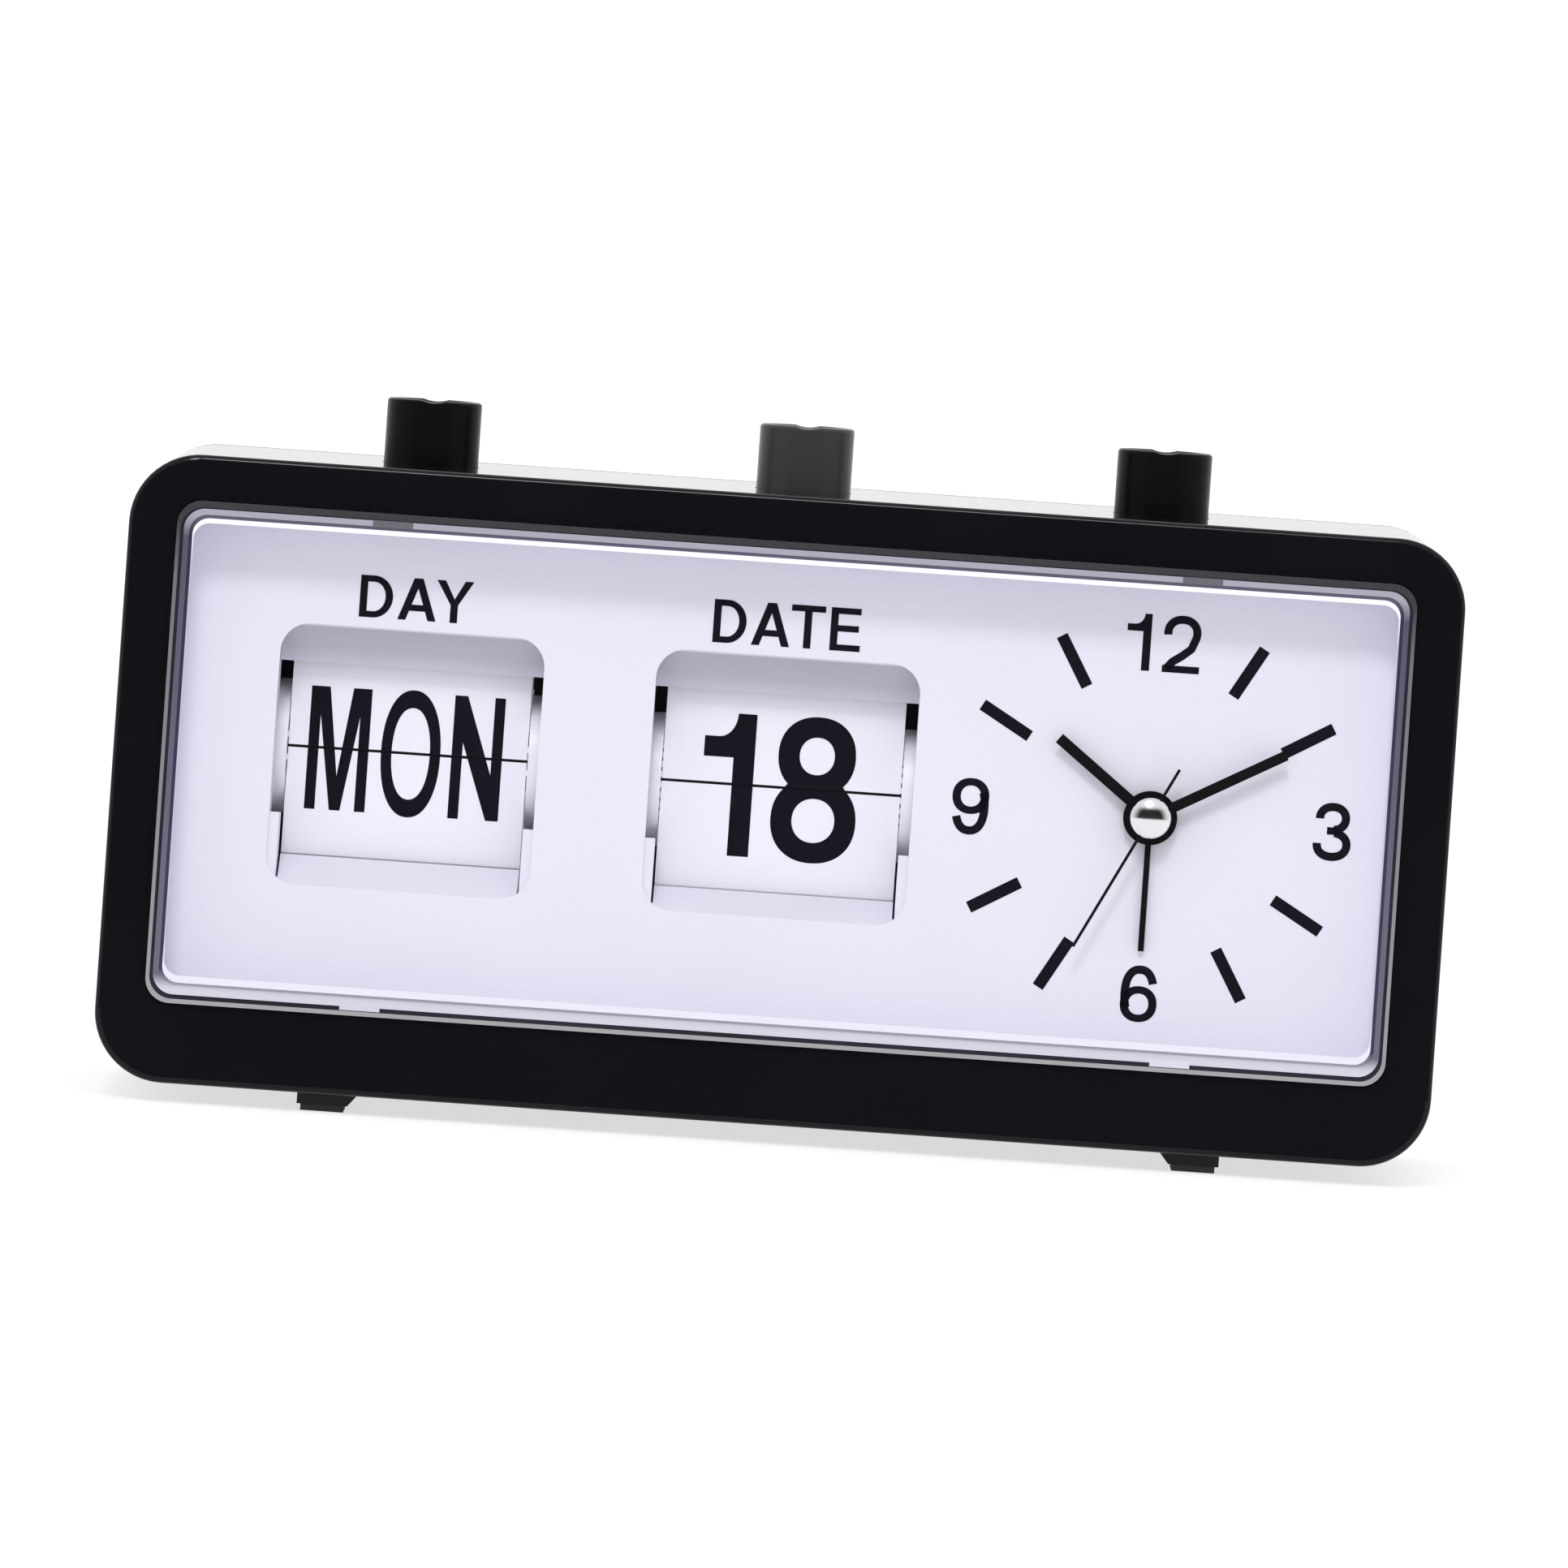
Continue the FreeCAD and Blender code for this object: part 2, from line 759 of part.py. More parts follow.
# ---------------------------------------------------------------- lens and dial
def make_lens():
    half = opening_width / 2 - fit_gap
    low = opening_bottom + fit_gap
    high = opening_top - fit_gap
    corner = opening_corner - fit_gap
    outer = slab(-half, half, low, high, corner, -lens_proud, dial_depth)
    outer = outer.makeFillet(lens_round, rim_at_y(outer, -lens_proud))
    inner_half = half - lens_skirt
    hollow = slab(-inner_half, inner_half, low + lens_skirt, high - lens_skirt, corner - lens_skirt,
                  lens_pane - lens_proud, dial_depth + PAST)
    reach = half - flange_end_gap
    flanges = []
    for z0, z1 in ((low - flange_reach, low + lens_skirt / 2), (high - lens_skirt / 2, high + flange_reach)):
        flanges.append(box(-reach, reach, front_wall, front_wall + flange_thick, z0, z1))
    notches = []
    for x in (-snap_offset, snap_offset):
        for z0, z1 in ((low - flange_reach, low + lens_skirt), (high - lens_skirt, high + flange_reach)):
            notches.append(box(x - snap_width / 2, x + snap_width / 2, lens_pane, dial_depth + PAST,
                               z0 - PAST, z1 + PAST))
    lens = joined([outer.cut(hollow)] + flanges)
    return lens.cut(group(notches)).removeSplitter()


def window_tunnel(name):
    """Walls round a window: a sloping hood over the leaves, a sill under them, a ledge beside each low corner."""
    x, split, _, length, _ = drum_settings()[name]
    half = window_width / 2
    outer = slab(x - half - tunnel_wall, x + half + tunnel_wall, window_bottom - tunnel_wall,
                 window_top + hood_root, window_corner + tunnel_wall, dial_depth, tunnel_end)
    inner = slab(x - half, x + half, window_bottom, window_top, window_corner,
                 dial_depth - PAST, tunnel_end + PAST)
    hood = prism_x([(dial_depth, window_top), (tunnel_end - hood_lip_depth, window_top - hood_drop),
                    (tunnel_end, window_top - hood_drop), (tunnel_end, window_top + hood_root / 2),
                    (dial_depth, window_top + hood_root / 2)],
                   x - half - tunnel_wall / 2, x + half + tunnel_wall / 2)
    room = rod_x(axle_depth, split, x - 2 * half, x + 2 * half, disc_radius + disc_room)
    beside_leaf = box(x - leaf_width / 2 - ledge_gap, x + leaf_width / 2 + ledge_gap,
                      dial_depth, tunnel_end + PAST, window_bottom - tunnel_wall, window_top)
    ledges = slab(x - half - tunnel_wall / 2, x + half + tunnel_wall / 2, window_bottom - tunnel_wall / 2,
                  ledge_top, tunnel_wall / 2, dial_depth + ledge_setback, tunnel_end)
    ledges = ledges.cut(beside_leaf).common(outer)
    sill = prism_x([(dial_depth + ledge_setback, window_bottom), (tunnel_end, split - length - sill_gap),
                    (tunnel_end, window_bottom - tunnel_wall / 2),
                    (dial_depth + ledge_setback, window_bottom - tunnel_wall / 2)],
                   x - leaf_width / 2, x + leaf_width / 2).common(outer)
    return outer.cut(inner).multiFuse([hood, ledges, sill]).cut(room)


def stake_places():
    """Places of the pins that carry the calendar frames."""
    spots = []
    for x in (day_x, date_x):
        for side in (-1, 1):
            spots.append((x + side * stake_spread, frame_bar_low() + bar_height / 2))
    return spots


def frame_bar_low():
    return window_bottom - tunnel_wall - bar_clearance - bar_height


def make_dial_plate():
    half = opening_width / 2 + dial_overhang
    low = opening_bottom - dial_overhang
    high = opening_top + dial_overhang
    plate = slab(-half, half, low, high, dial_corner, dial_depth, dial_back)
    window_half = window_width / 2
    for x in (day_x, date_x):
        plate = plate.cut(slab(x - window_half, x + window_half, window_bottom, window_top, window_corner,
                               dial_depth - PAST, dial_back + PAST))
    pieces = [plate, window_tunnel("day"), window_tunnel("date")]
    stake_end = dial_back + bar_depth + stake_head
    for x, z in stake_places():
        pieces.append(rod_y(x, z, dial_depth + dial_thick / 2, stake_end, stake_radius))
    lug_half = snap_width / 2 - fit_gap
    for x in (-snap_offset, snap_offset):
        for edge, side in ((opening_bottom, 1), (opening_top, -1)):
            z0 = edge + side * 2 * fit_gap
            z1 = edge + side * lens_skirt
            pieces.append(box(x - lug_half, x + lug_half, lens_pane + fit_gap, dial_depth + dial_thick / 2,
                              min(z0, z1), max(z0, z1)))
    dial = joined(pieces)
    cuts = [rod_y(clock_x, clock_z, dial_depth - PAST, dial_back + PAST, alarm_tube_radius() + dial_hole_gap)]
    for x, z in dial_boss_places():
        cuts.append(rod_y(x, z, dial_depth - PAST, dial_back + PAST, screw_radius + running_gap))
    for x, z in ear_places():
        cuts.append(rod_y(x, z, dial_depth + dial_skin, dial_back + PAST, screw_radius + running_gap))
    return dial.cut(group(cuts))


def small_screw(x, z, seat, depth):
    """Screw with its head behind a seat and its shank running forward."""
    head = rod_y(x, z, seat, seat + small_head, small_head_radius)
    shank = rod_y(x, z, seat - depth, seat + small_head / 2, screw_radius)
    slot = box(x - FAR, x + FAR, seat + small_head / 2, seat + small_head + PAST,
               z - cross_width / 4, z + cross_width / 4)
    return head.fuse(shank).cut(slot).removeSplitter()


def make_dial_screws():
    depth = dial_back - front_wall - PAST
    return group([small_screw(x, z, dial_back, depth) for x, z in dial_boss_places()])


# ---------------------------------------------------------------- calendar drums
def drum_settings():
    """Each calendar drum: middle x, split height, number of leaves, leaf length and the ratchet's side."""
    return {"day": (day_x, day_split, day_leaves, day_leaf_length, 1),
            "date": (date_x, date_split, date_leaves, date_leaf_length, -1)}


def plate_start(side, ratchet_side):
    """Distance from a drum's middle to its side plate."""
    extra = ratchet_thick if side == ratchet_side else 0
    return max(disc_end + extra + side_gap, window_width / 2 + tunnel_wall + fit_gap)


def make_calendar_frame(name):
    x, split, _, _, ratchet_side = drum_settings()[name]
    low = frame_bar_low()
    pieces = []
    ends = {}
    for side in (-1, 1):
        near = plate_start(side, ratchet_side)
        x0, x1 = between(x, side, near, near + plate_thick)
        ends[side] = x1 if side > 0 else x0
        pieces.append(box(x0, x1, dial_back, axle_depth + plate_reach_behind_axle,
                          split - plate_half_height, split + plate_half_height))
        pieces.append(box(x0, x1, dial_back, dial_back + bar_depth, low, split))
    pieces.append(box(ends[-1], ends[1], dial_back, dial_back + bar_depth, low, low + bar_height))
    frame = joined(pieces)
    holes = [rod_x(axle_depth, split, ends[-1] - PAST, ends[1] + PAST, axle_radius + running_gap)]
    bar_end = dial_back + bar_depth
    for stake_x, stake_z in stake_places():
        holes.append(rod_y(stake_x, stake_z, dial_back - PAST, bar_end + PAST, stake_radius + running_gap))
    return frame.cut(group(holes))


def make_stake_washers():
    """Push-on washers that hold the calendar frames on their pins."""
    washers = []
    for x, z in stake_places():
        start = dial_back + bar_depth
        ring = rod_y(x, z, start, start + clip_thick, washer_radius)
        washers.append(ring.cut(rod_y(x, z, start - PAST, start + PAST, stake_radius)))
    return group(washers)


def axle_ends(name):
    x, split, _, _, ratchet_side = drum_settings()[name]
    left = x - plate_start(-1, ratchet_side) - plate_thick
    right = x + plate_start(1, ratchet_side) + plate_thick
    return left, right, split


def make_axle(name):
    left, right, split = axle_ends(name)
    spare = 3 * clip_thick
    return rod_x(axle_depth, split, left - spare, right + spare, axle_radius)


def make_axle_clips():
    clips = []
    for name in drum_settings():
        left, right, split = axle_ends(name)
        for x0 in (left - clip_thick - running_gap, right + running_gap):
            ring = rod_x(axle_depth, split, x0, x0 + clip_thick, clip_radius)
            clips.append(ring.cut(rod_x(axle_depth, split, x0 - PAST, x0 + PAST, axle_radius)))
    return group(clips)


def make_drum(name):
    x, split, count, _, ratchet_side = drum_settings()[name]
    pitch = 2 * math.pi / count
    pieces = [rod_x(axle_depth, split, x - disc_start - SUNK, x + disc_start + SUNK, core_radius)]
    for side in (-1, 1):
        x0, x1 = between(x, side, disc_start, disc_end)
        pieces.append(rod_x(axle_depth, split, x0, x1, disc_radius))
    outline = []
    for number in range(count):
        angle = pitch / 2 - lean - number * pitch
        for radius in (ratchet_radius - ratchet_tooth, ratchet_radius):
            outline.append((axle_depth - radius * math.cos(angle), split + radius * math.sin(angle)))
    x0, x1 = between(x, ratchet_side, disc_end - SUNK, disc_end + ratchet_thick)
    pieces.append(prism_x(outline, x0, x1))
    drum = joined(pieces)
    holes = [rod_x(axle_depth, split, x - FAR / 2, x + FAR / 2, axle_radius + running_gap)]
    hole_end = leaf_width / 2 + leaf_ear_length + pin_hole_spare
    for number in range(count):
        angle = (number + 1 / 2) * pitch
        y = axle_depth - pin_circle * math.cos(angle)
        z = split + pin_circle * math.sin(angle)
        holes.append(rod_x(y, z, x - hole_end, x - disc_start + PAST, pin_hole_radius))
        holes.append(rod_x(y, z, x + disc_start - PAST, x + hole_end, pin_hole_radius))
    return drum.cut(group(holes))


def make_leaf(name, number):
    """One leaf on its pin place, counted from the upper front one over the top of the drum.

    The hood's lip bends the upper front leaf as the drum steps, so that stiff leaf is drawn short of the lip.
    """
    x, split, count, length, _ = drum_settings()[name]
    pitch = 360 / count
    angle = (number + 1 / 2) * pitch
    drawn = upper_lengths[name] if number == 0 else length
    below = pin_circle * math.sin(math.radians(pitch / 2))
    half = leaf_width / 2
    thick = leaf_thick / 2
    sheet = box(-half, half, -thick, thick, -below + leaf_split_gap, drawn - below)
    ears = box(-half - leaf_ear_length, half + leaf_ear_length, -thick, thick,
               -leaf_ear_height / 2, leaf_ear_height / 2)
    leaf = joined([sheet, ears])
    direction = min(90 + angle - pitch / 2, 270)
    leaf.rotate(V(0, 0, 0), X_AXIS, 90 - direction)
    y = axle_depth - pin_circle * math.cos(math.radians(angle))
    z = split + pin_circle * math.sin(math.radians(angle))
    leaf.translate(V(x, y, z))
    return leaf


def make_leaf_pack(name):
    count = drum_settings()[name][2]
    return group([make_leaf(name, number) for number in range(1, count - 1)])


# ---------------------------------------------------------------- movement and hands
def minute_tube_radius():
    return second_radius + running_gap + tube_wall


def hour_tube_radius():
    return minute_tube_radius() + running_gap + tube_wall


def alarm_tube_radius():
    return hour_tube_radius() + running_gap + tube_wall


def hand_back(order):
    """Back face of a hand, counted from the alarm hand forward."""
    return dial_depth - alarm_front_gap - order * hand_pitch


def wheel_start(order):
    """Front face of a wheel, counted from the alarm wheel backward."""
    return dial_back + movement_wall + wheel_gap + order * (wheel_thick + wheel_gap)


def ear_places():
    """Screw places of the movement's two ears."""
    reach = movement_width / 2 + ear_size / 2
    return [(clock_x, clock_z - reach), (clock_x, clock_z + reach)]


def movement_span():
    half = movement_width / 2
    return clock_x - half, clock_x + half, clock_z - half, clock_z + half


def make_movement_case():
    x0, x1, z0, z1 = movement_span()
    split = dial_back + movement_depth - movement_cover
    body = slab(x0, x1, z0, z1, movement_corner, dial_back, split)
    ears = box(clock_x - ear_size / 2, clock_x + ear_size / 2, dial_back, dial_back + movement_wall,
               z0 - ear_size, z1 + ear_size)
    hollow = slab(x0 + movement_wall, x1 - movement_wall, z0 + movement_wall, z1 - movement_wall,
                  movement_corner - movement_wall / 2, dial_back + movement_wall, split + PAST)
    case = joined([body, ears]).cut(hollow)
    cuts = [rod_y(clock_x, clock_z, dial_back - PAST, wheel_start(0), alarm_tube_radius() + running_gap)]
    for x, z in ((set_x, set_z), (alarm_set_x, alarm_set_z)):
        cuts.append(rod_y(x, z, dial_back + pivot_skin, wheel_start(0), second_radius + running_gap))
    for x, z in ear_places():
        cuts.append(rod_y(x, z, dial_back - PAST, wheel_start(0), screw_radius + running_gap))
    return case.cut(group(cuts))


def make_movement_cover():
    x0, x1, z0, z1 = movement_span()
    end = dial_back + movement_depth
    plate = slab(x0, x1, z0, z1, movement_corner, end - movement_cover, end)
    inset = movement_wall + fit_gap
    rim_outer = slab(x0 + inset, x1 - inset, z0 + inset, z1 - inset, movement_corner - movement_wall / 2,
                     end - 2 * movement_cover, end - movement_cover)
    deep = inset + movement_wall
    rim_inner = slab(x0 + deep, x1 - deep, z0 + deep, z1 - deep, movement_corner - movement_wall / 2,
                     end - 3 * movement_cover, end)
    cover = joined([plate, rim_outer.cut(rim_inner)])
    cuts = []
    for x, z in ((set_x, set_z), (alarm_set_x, alarm_set_z)):
        cuts.append(rod_y(x, z, end - 2 * movement_cover, end + PAST, stem_radius + running_gap))
    cuts.append(rod_y(clock_x, clock_z, end - 2 * movement_cover, end - movement_cover / 2,
                      second_radius + running_gap))
    return cover.cut(group(cuts))


def make_movement_screws():
    seat = dial_back + movement_wall
    depth = movement_wall + dial_thick - dial_skin
    return group([small_screw(x, z, seat, depth) for x, z in ear_places()])


def tube(x, z, y0, y1, outer, inner):
    return rod_y(x, z, y0, y1, outer).cut(rod_y(x, z, y0 - PAST, y1 + PAST, inner))


def make_alarm_wheel():
    start = wheel_start(0)
    wheel = gear(clock_x, clock_z, start, start + wheel_thick, wheel_module, alarm_teeth, alarm_set_direction)
    pipe = rod_y(clock_x, clock_z, hand_back(0) - hand_thick, start + wheel_thick, alarm_tube_radius())
    bore = rod_y(clock_x, clock_z, 0, FAR, hour_tube_radius() + running_gap)
    return joined([wheel, pipe]).cut(bore)


def make_hour_wheel():
    start = wheel_start(1)
    wheel = gear(clock_x, clock_z, start, start + wheel_thick, pinion_module, hour_teeth, set_direction)
    pipe = rod_y(clock_x, clock_z, hand_back(1) - hand_thick, start + wheel_thick, hour_tube_radius())
    bore = rod_y(clock_x, clock_z, 0, FAR, minute_tube_radius() + running_gap)
    return joined([wheel, pipe]).cut(bore)


def make_cannon_pinion():
    start = wheel_start(2)
    pinion = gear(clock_x, clock_z, start, start + wheel_thick, motion_module, cannon_teeth, set_direction)
    pipe = rod_y(clock_x, clock_z, hand_back(2) - hand_thick, start + wheel_thick, minute_tube_radius())
    bore = rod_y(clock_x, clock_z, 0, FAR, second_radius + running_gap)
    return joined([pinion, pipe]).cut(bore)


def make_second_shaft():
    start = wheel_start(3)
    wheel = gear(clock_x, clock_z, start, start + wheel_thick, wheel_module, second_teeth, 0)
    end = dial_back + movement_depth - movement_cover / 2
    rod = rod_y(clock_x, clock_z, hand_back(3) - hand_thick, end - running_gap, second_radius)
    return joined([wheel, rod])


def set_stem(x, z, wheels):
    """Setting stem with its pivot, its wheels and the length that runs out to the knob."""
    pivot = rod_y(x, z, dial_back + pivot_skin + running_gap, wheel_start(0), second_radius)
    stem = rod_y(x, z, wheel_start(0), knob_start + knob_thick / 2, stem_radius)
    return joined([pivot, stem] + wheels)


def make_time_set_stem():
    facing = set_direction - 180
    pinion = gear(set_x, set_z, wheel_start(1), wheel_start(2), pinion_module, minute_pinion_teeth,
                  facing + 180 / minute_pinion_teeth)
    start = wheel_start(2)
    wheel = gear(set_x, set_z, start, start + wheel_thick, motion_module, minute_wheel_teeth,
                 facing + 180 / minute_wheel_teeth)
    return set_stem(set_x, set_z, [pinion, wheel])


def make_alarm_set_stem():
    facing = alarm_set_direction - 180
    pinion = gear(alarm_set_x, alarm_set_z, wheel_start(0), wheel_start(0) + wheel_thick, wheel_module,
                  alarm_pinion_teeth, facing + 180 / alarm_pinion_teeth)
    return set_stem(alarm_set_x, alarm_set_z, [pinion])


def make_knob(x, z):
    knob = rod_y(x, z, knob_start, knob_end, knob_radius)
    knob = knob.makeFillet(knob_round, circles_at(knob, knob_end, Y_AXIS))
    cuts = [rod_y(x, z, knob_start - PAST, knob_start + knob_thick / 2, stem_radius)]
    for number in range(knob_ribs):
        rib_x, rib_z = polar(x, z, knob_radius + rib_radius / 2, 360 * number / knob_ribs)
        cuts.append(rod_y(rib_x, rib_z, knob_start - PAST, knob_end + PAST, rib_radius))
    return knob.cut(group(cuts))


def make_hand(order, angle, length, tail, width, hub, bore):
    back = hand_back(order)
    blade = box(clock_x - width / 2, clock_x + width / 2, back - hand_thick, back,
                clock_z - tail, clock_z + length)
    disc = rod_y(clock_x, clock_z, back - hand_thick, back, hub)
    hand = joined([blade, disc]).cut(rod_y(clock_x, clock_z, back - FAR, back + FAR, bore))
    hand.rotate(V(clock_x, 0, clock_z), Y_AXIS, angle)
    return hand


def make_hands():
    second_boss = cap_radius - cap_overhang
    return {
        "alarm_hand": make_hand(0, alarm_angle, alarm_length, 0, alarm_width, alarm_boss,
                                alarm_tube_radius()),
        "hour_hand": make_hand(1, hour_angle, hour_length, 0, hour_width, hour_boss, hour_tube_radius()),
        "minute_hand": make_hand(2, minute_angle, minute_length, 0, minute_width, minute_boss,
                                 minute_tube_radius()),
        "second_hand": make_hand(3, second_angle, second_length, second_tail, second_width, second_boss,
                                 second_radius),
    }


def make_hand_cap():
    back = hand_back(3) - hand_thick
    cap = rod_y(clock_x, clock_z, back - cap_height, back, cap_radius)
    return cap.makeFillet(cap_round, circles_at(cap, back - cap_height, Y_AXIS))


def make_drive_coil():
    x0, x1, z0, z1 = movement_span()
    y = dial_back + movement_wall + coil_flange + coil_radius
    z = z1 - movement_wall - coil_margin - coil_radius
    winding = rod_x(y, z, clock_x - coil_length / 2, clock_x + coil_length / 2, coil_radius)
    flanges = []
    for side in (-1, 1):
        x = clock_x + side * (coil_length / 2 + board_thick / 2)
        flanges.append(box(x - board_thick / 2, x + board_thick / 2, dial_back + movement_wall, board_start(),
                           z - coil_radius - coil_flange, z + coil_radius + coil_flange))
    return joined([winding] + flanges)


def board_start():
    return dial_back + movement_depth - 2 * movement_cover - board_thick


def make_circuit_board():
    x0, x1, z0, z1 = movement_span()
    edge = movement_wall + 2 * fit_gap
    return slab(x0 + edge, x1 - edge, clock_z + board_above_centre, z1 - edge, movement_corner,
                board_start(), board_start() + board_thick)


# ---------------------------------------------------------------- push buttons
def button_bottom():
    """Underside of a button's stem, at rest."""
    return case_top - case_wall - running_gap - button_flange - stem_length


def make_button(x):
    y = button_y()
    under_wall = case_top - case_wall - running_gap
    top = case_top + button_height
    cap = rod_z(x, y, under_wall - button_flange, top, button_radius)
    cap = cap.makeFillet(button_rim, circles_at(cap, top, Z_AXIS))
    flange = rod_z(x, y, under_wall - button_flange, under_wall, button_radius + flange_extra)
    stem = rod_z(x, y, button_bottom(), under_wall - button_flange + SUNK, button_stem)
    span = button_radius - 2 * button_rim
    ball_radius = (span ** 2 + button_dish ** 2) / (2 * button_dish)
    ball = Part.makeSphere(ball_radius, V(x, y, top - button_dish + ball_radius))
    scoop_radius = ((button_scoop_width / 2) ** 2 + button_scoop_depth ** 2) / (2 * button_scoop_depth)
    scoop = rod_y(x, top - button_scoop_depth + scoop_radius, y - button_radius - PAST,
                  y + button_radius + PAST, scoop_radius)
    return joined([cap, flange, stem]).cut(group([ball, scoop]))


def make_button_spring(x):
    low = case_top - case_wall - guide_drop
    high = case_top - case_wall - running_gap - button_flange
    spring = coil(spring_radius, spring_wire, spring_coils, low, high)
    spring.translate(V(x, button_y(), 0))
    return spring


def make_button_guides():
    guides = []
    ceiling = case_top - case_wall
    bar_top = ceiling - guide_drop
    half = guide_width / 2
    y0 = button_y() - guide_depth / 2
    y1 = button_y() + guide_depth / 2
    for x in button_places().values():
        bar = box(x - half, x + half, y0, y1, bar_top - guide_thick, bar_top)
        legs = [box(x - half, x - half + guide_thick, y0, y1, bar_top - guide_thick, ceiling),
                box(x + half - guide_thick, x + half, y0, y1, bar_top - guide_thick, ceiling)]
        hole = rod_z(x, button_y(), bar_top - guide_thick - PAST, bar_top + PAST, button_stem + running_gap)
        guides.append(joined([bar] + legs).cut(hole))
    return group(guides)


def make_pawl(name):
    """Bent arm on a button's stem: back to front over the drum, then down to the ratchet with a hook."""
    x, split, count, _, side = drum_settings()[name]
    centre_y = front_y + axle_depth * math.cos(lean) + split * math.sin(lean)
    centre_z = case_bottom - axle_depth * math.sin(lean) + split * math.cos(lean)
    near = window_width / 2 + tunnel_wall + pawl_side_gap
    x0, x1 = between(x, side, near, near + pawl_width)
    bar_back = centre_y - ratchet_radius - pawl_front_gap
    bar_front = bar_back - pawl_thick
    low = button_bottom()
    high = low + arm_height
    stem_x = button_places()[name]
    hook_z = centre_z + ratchet_radius * math.sin(math.pi / count) + pawl_gap
    eye = button_stem + pawl_eye
    across = box(min(stem_x - eye, x0), max(stem_x + eye, x1), button_y() - eye, button_y() + eye, low, high)
    forward = box(x0, x1, bar_front, button_y() + button_stem, low, high)
    bar = box(x0, x1, bar_front, bar_back, hook_z, high)
    hook = box(x0, x1, bar_front, centre_y - ratchet_radius + pawl_bite, hook_z, hook_z + pawl_hook)
    stem_hole_cut = rod_z(stem_x, button_y(), low - PAST, high + PAST, button_stem)
    return joined([across, forward, bar, hook]).cut(stem_hole_cut)


def snooze_switch_top():
    return button_bottom() - snooze_travel - 2 * running_gap


def make_snooze_switch():
    y = button_y()
    top = snooze_switch_top()
    base = top - snooze_switch_height
    half = snooze_switch_width / 2
    body = box(snooze_button_x - half, snooze_button_x + half, y - half, y + half, base,
               top - snooze_travel / 2)
    plunger = rod_z(snooze_button_x, y, base + SUNK, top, button_stem)
    return joined([body, plunger])


# ---------------------------------------------------------------- every piece
def make_parts():
    parts = {
        "front_case": joined([make_front_case()] + make_feet()),
        "rear_cover": make_rear_cover(),
        "foot_pads": make_foot_pads(),
        "case_screws": make_case_screws(),
        "lens": on_face(make_lens()),
        "dial_plate": on_face(make_dial_plate()),
        "dial_screws": on_face(make_dial_screws()),
        "stake_washers": on_face(make_stake_washers()),
        "axle_clips": on_face(make_axle_clips()),
        "battery": make_battery(),
        "battery_contacts": make_battery_contacts(),
        "battery_door": make_battery_door(),
        "alarm_buzzer": make_buzzer(),
        "alarm_switch": make_alarm_switch(),
        "snooze_switch": make_snooze_switch(),
        "button_guides": make_button_guides(),
        "movement_case": on_face(make_movement_case()),
        "movement_cover": on_face(make_movement_cover()),
        "movement_screws": on_face(make_movement_screws()),
        "drive_coil": on_face(make_drive_coil()),
        "circuit_board": on_face(make_circuit_board()),
        "alarm_wheel": on_face(make_alarm_wheel()),
        "hour_wheel": on_face(make_hour_wheel()),
        "cannon_pinion": on_face(make_cannon_pinion()),
        "second_shaft": on_face(make_second_shaft()),
        "time_set_stem": on_face(make_time_set_stem()),
        "alarm_set_stem": on_face(make_alarm_set_stem()),
        "time_set_knob": on_face(make_knob(set_x, set_z)),
        "alarm_set_knob": on_face(make_knob(alarm_set_x, alarm_set_z)),
        "hand_cap": on_face(make_hand_cap()),
    }
    for name, hand in make_hands().items():
        parts[name] = on_face(hand)
    for name, x in button_places().items():
        parts[name + "_button"] = make_button(x)
        parts[name + "_button_spring"] = make_button_spring(x)
    for name in drum_settings():
        count = drum_settings()[name][2]
        parts[name + "_frame"] = on_face(make_calendar_frame(name))
        parts[name + "_axle"] = on_face(make_axle(name))
        parts[name + "_drum"] = on_face(make_drum(name))
        parts[name + "_leaf_upper"] = on_face(make_leaf(name, 0))
        parts[name + "_leaf_lower"] = on_face(make_leaf(name, count - 1))
        parts[name + "_leaf_pack"] = on_face(make_leaf_pack(name))
        parts[name + "_pawl"] = make_pawl(name)
    return parts


os.makedirs("parts", exist_ok=True)
for node, shape in make_parts().items():
    shape.exportStep("parts/" + node + ".step")
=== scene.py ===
import json
import math

import bmesh
import bpy
from mathutils import Matrix, Vector


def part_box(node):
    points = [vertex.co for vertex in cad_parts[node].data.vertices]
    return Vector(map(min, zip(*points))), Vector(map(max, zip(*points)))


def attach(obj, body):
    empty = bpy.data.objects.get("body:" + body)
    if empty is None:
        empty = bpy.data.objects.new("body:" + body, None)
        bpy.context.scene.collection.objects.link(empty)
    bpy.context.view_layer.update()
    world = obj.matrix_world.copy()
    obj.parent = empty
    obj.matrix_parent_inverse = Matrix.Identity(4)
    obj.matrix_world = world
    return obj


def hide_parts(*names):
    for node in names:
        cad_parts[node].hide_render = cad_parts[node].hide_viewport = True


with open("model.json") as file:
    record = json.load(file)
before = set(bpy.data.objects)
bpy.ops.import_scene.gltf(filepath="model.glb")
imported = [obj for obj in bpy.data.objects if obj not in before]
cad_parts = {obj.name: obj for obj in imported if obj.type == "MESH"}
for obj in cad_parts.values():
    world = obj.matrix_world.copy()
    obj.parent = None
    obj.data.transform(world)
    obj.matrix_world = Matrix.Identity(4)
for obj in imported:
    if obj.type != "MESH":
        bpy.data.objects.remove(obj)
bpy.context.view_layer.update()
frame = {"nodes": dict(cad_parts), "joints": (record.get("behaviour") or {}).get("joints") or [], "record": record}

# Lengths are in millimetres on the clock's leaning face: x to the right, y into the clock, z up the face from
# the case's bottom front edge. on_face() takes them to the frame, in metres.
MM = 0.001
ARC_STEP = math.radians(7.5)

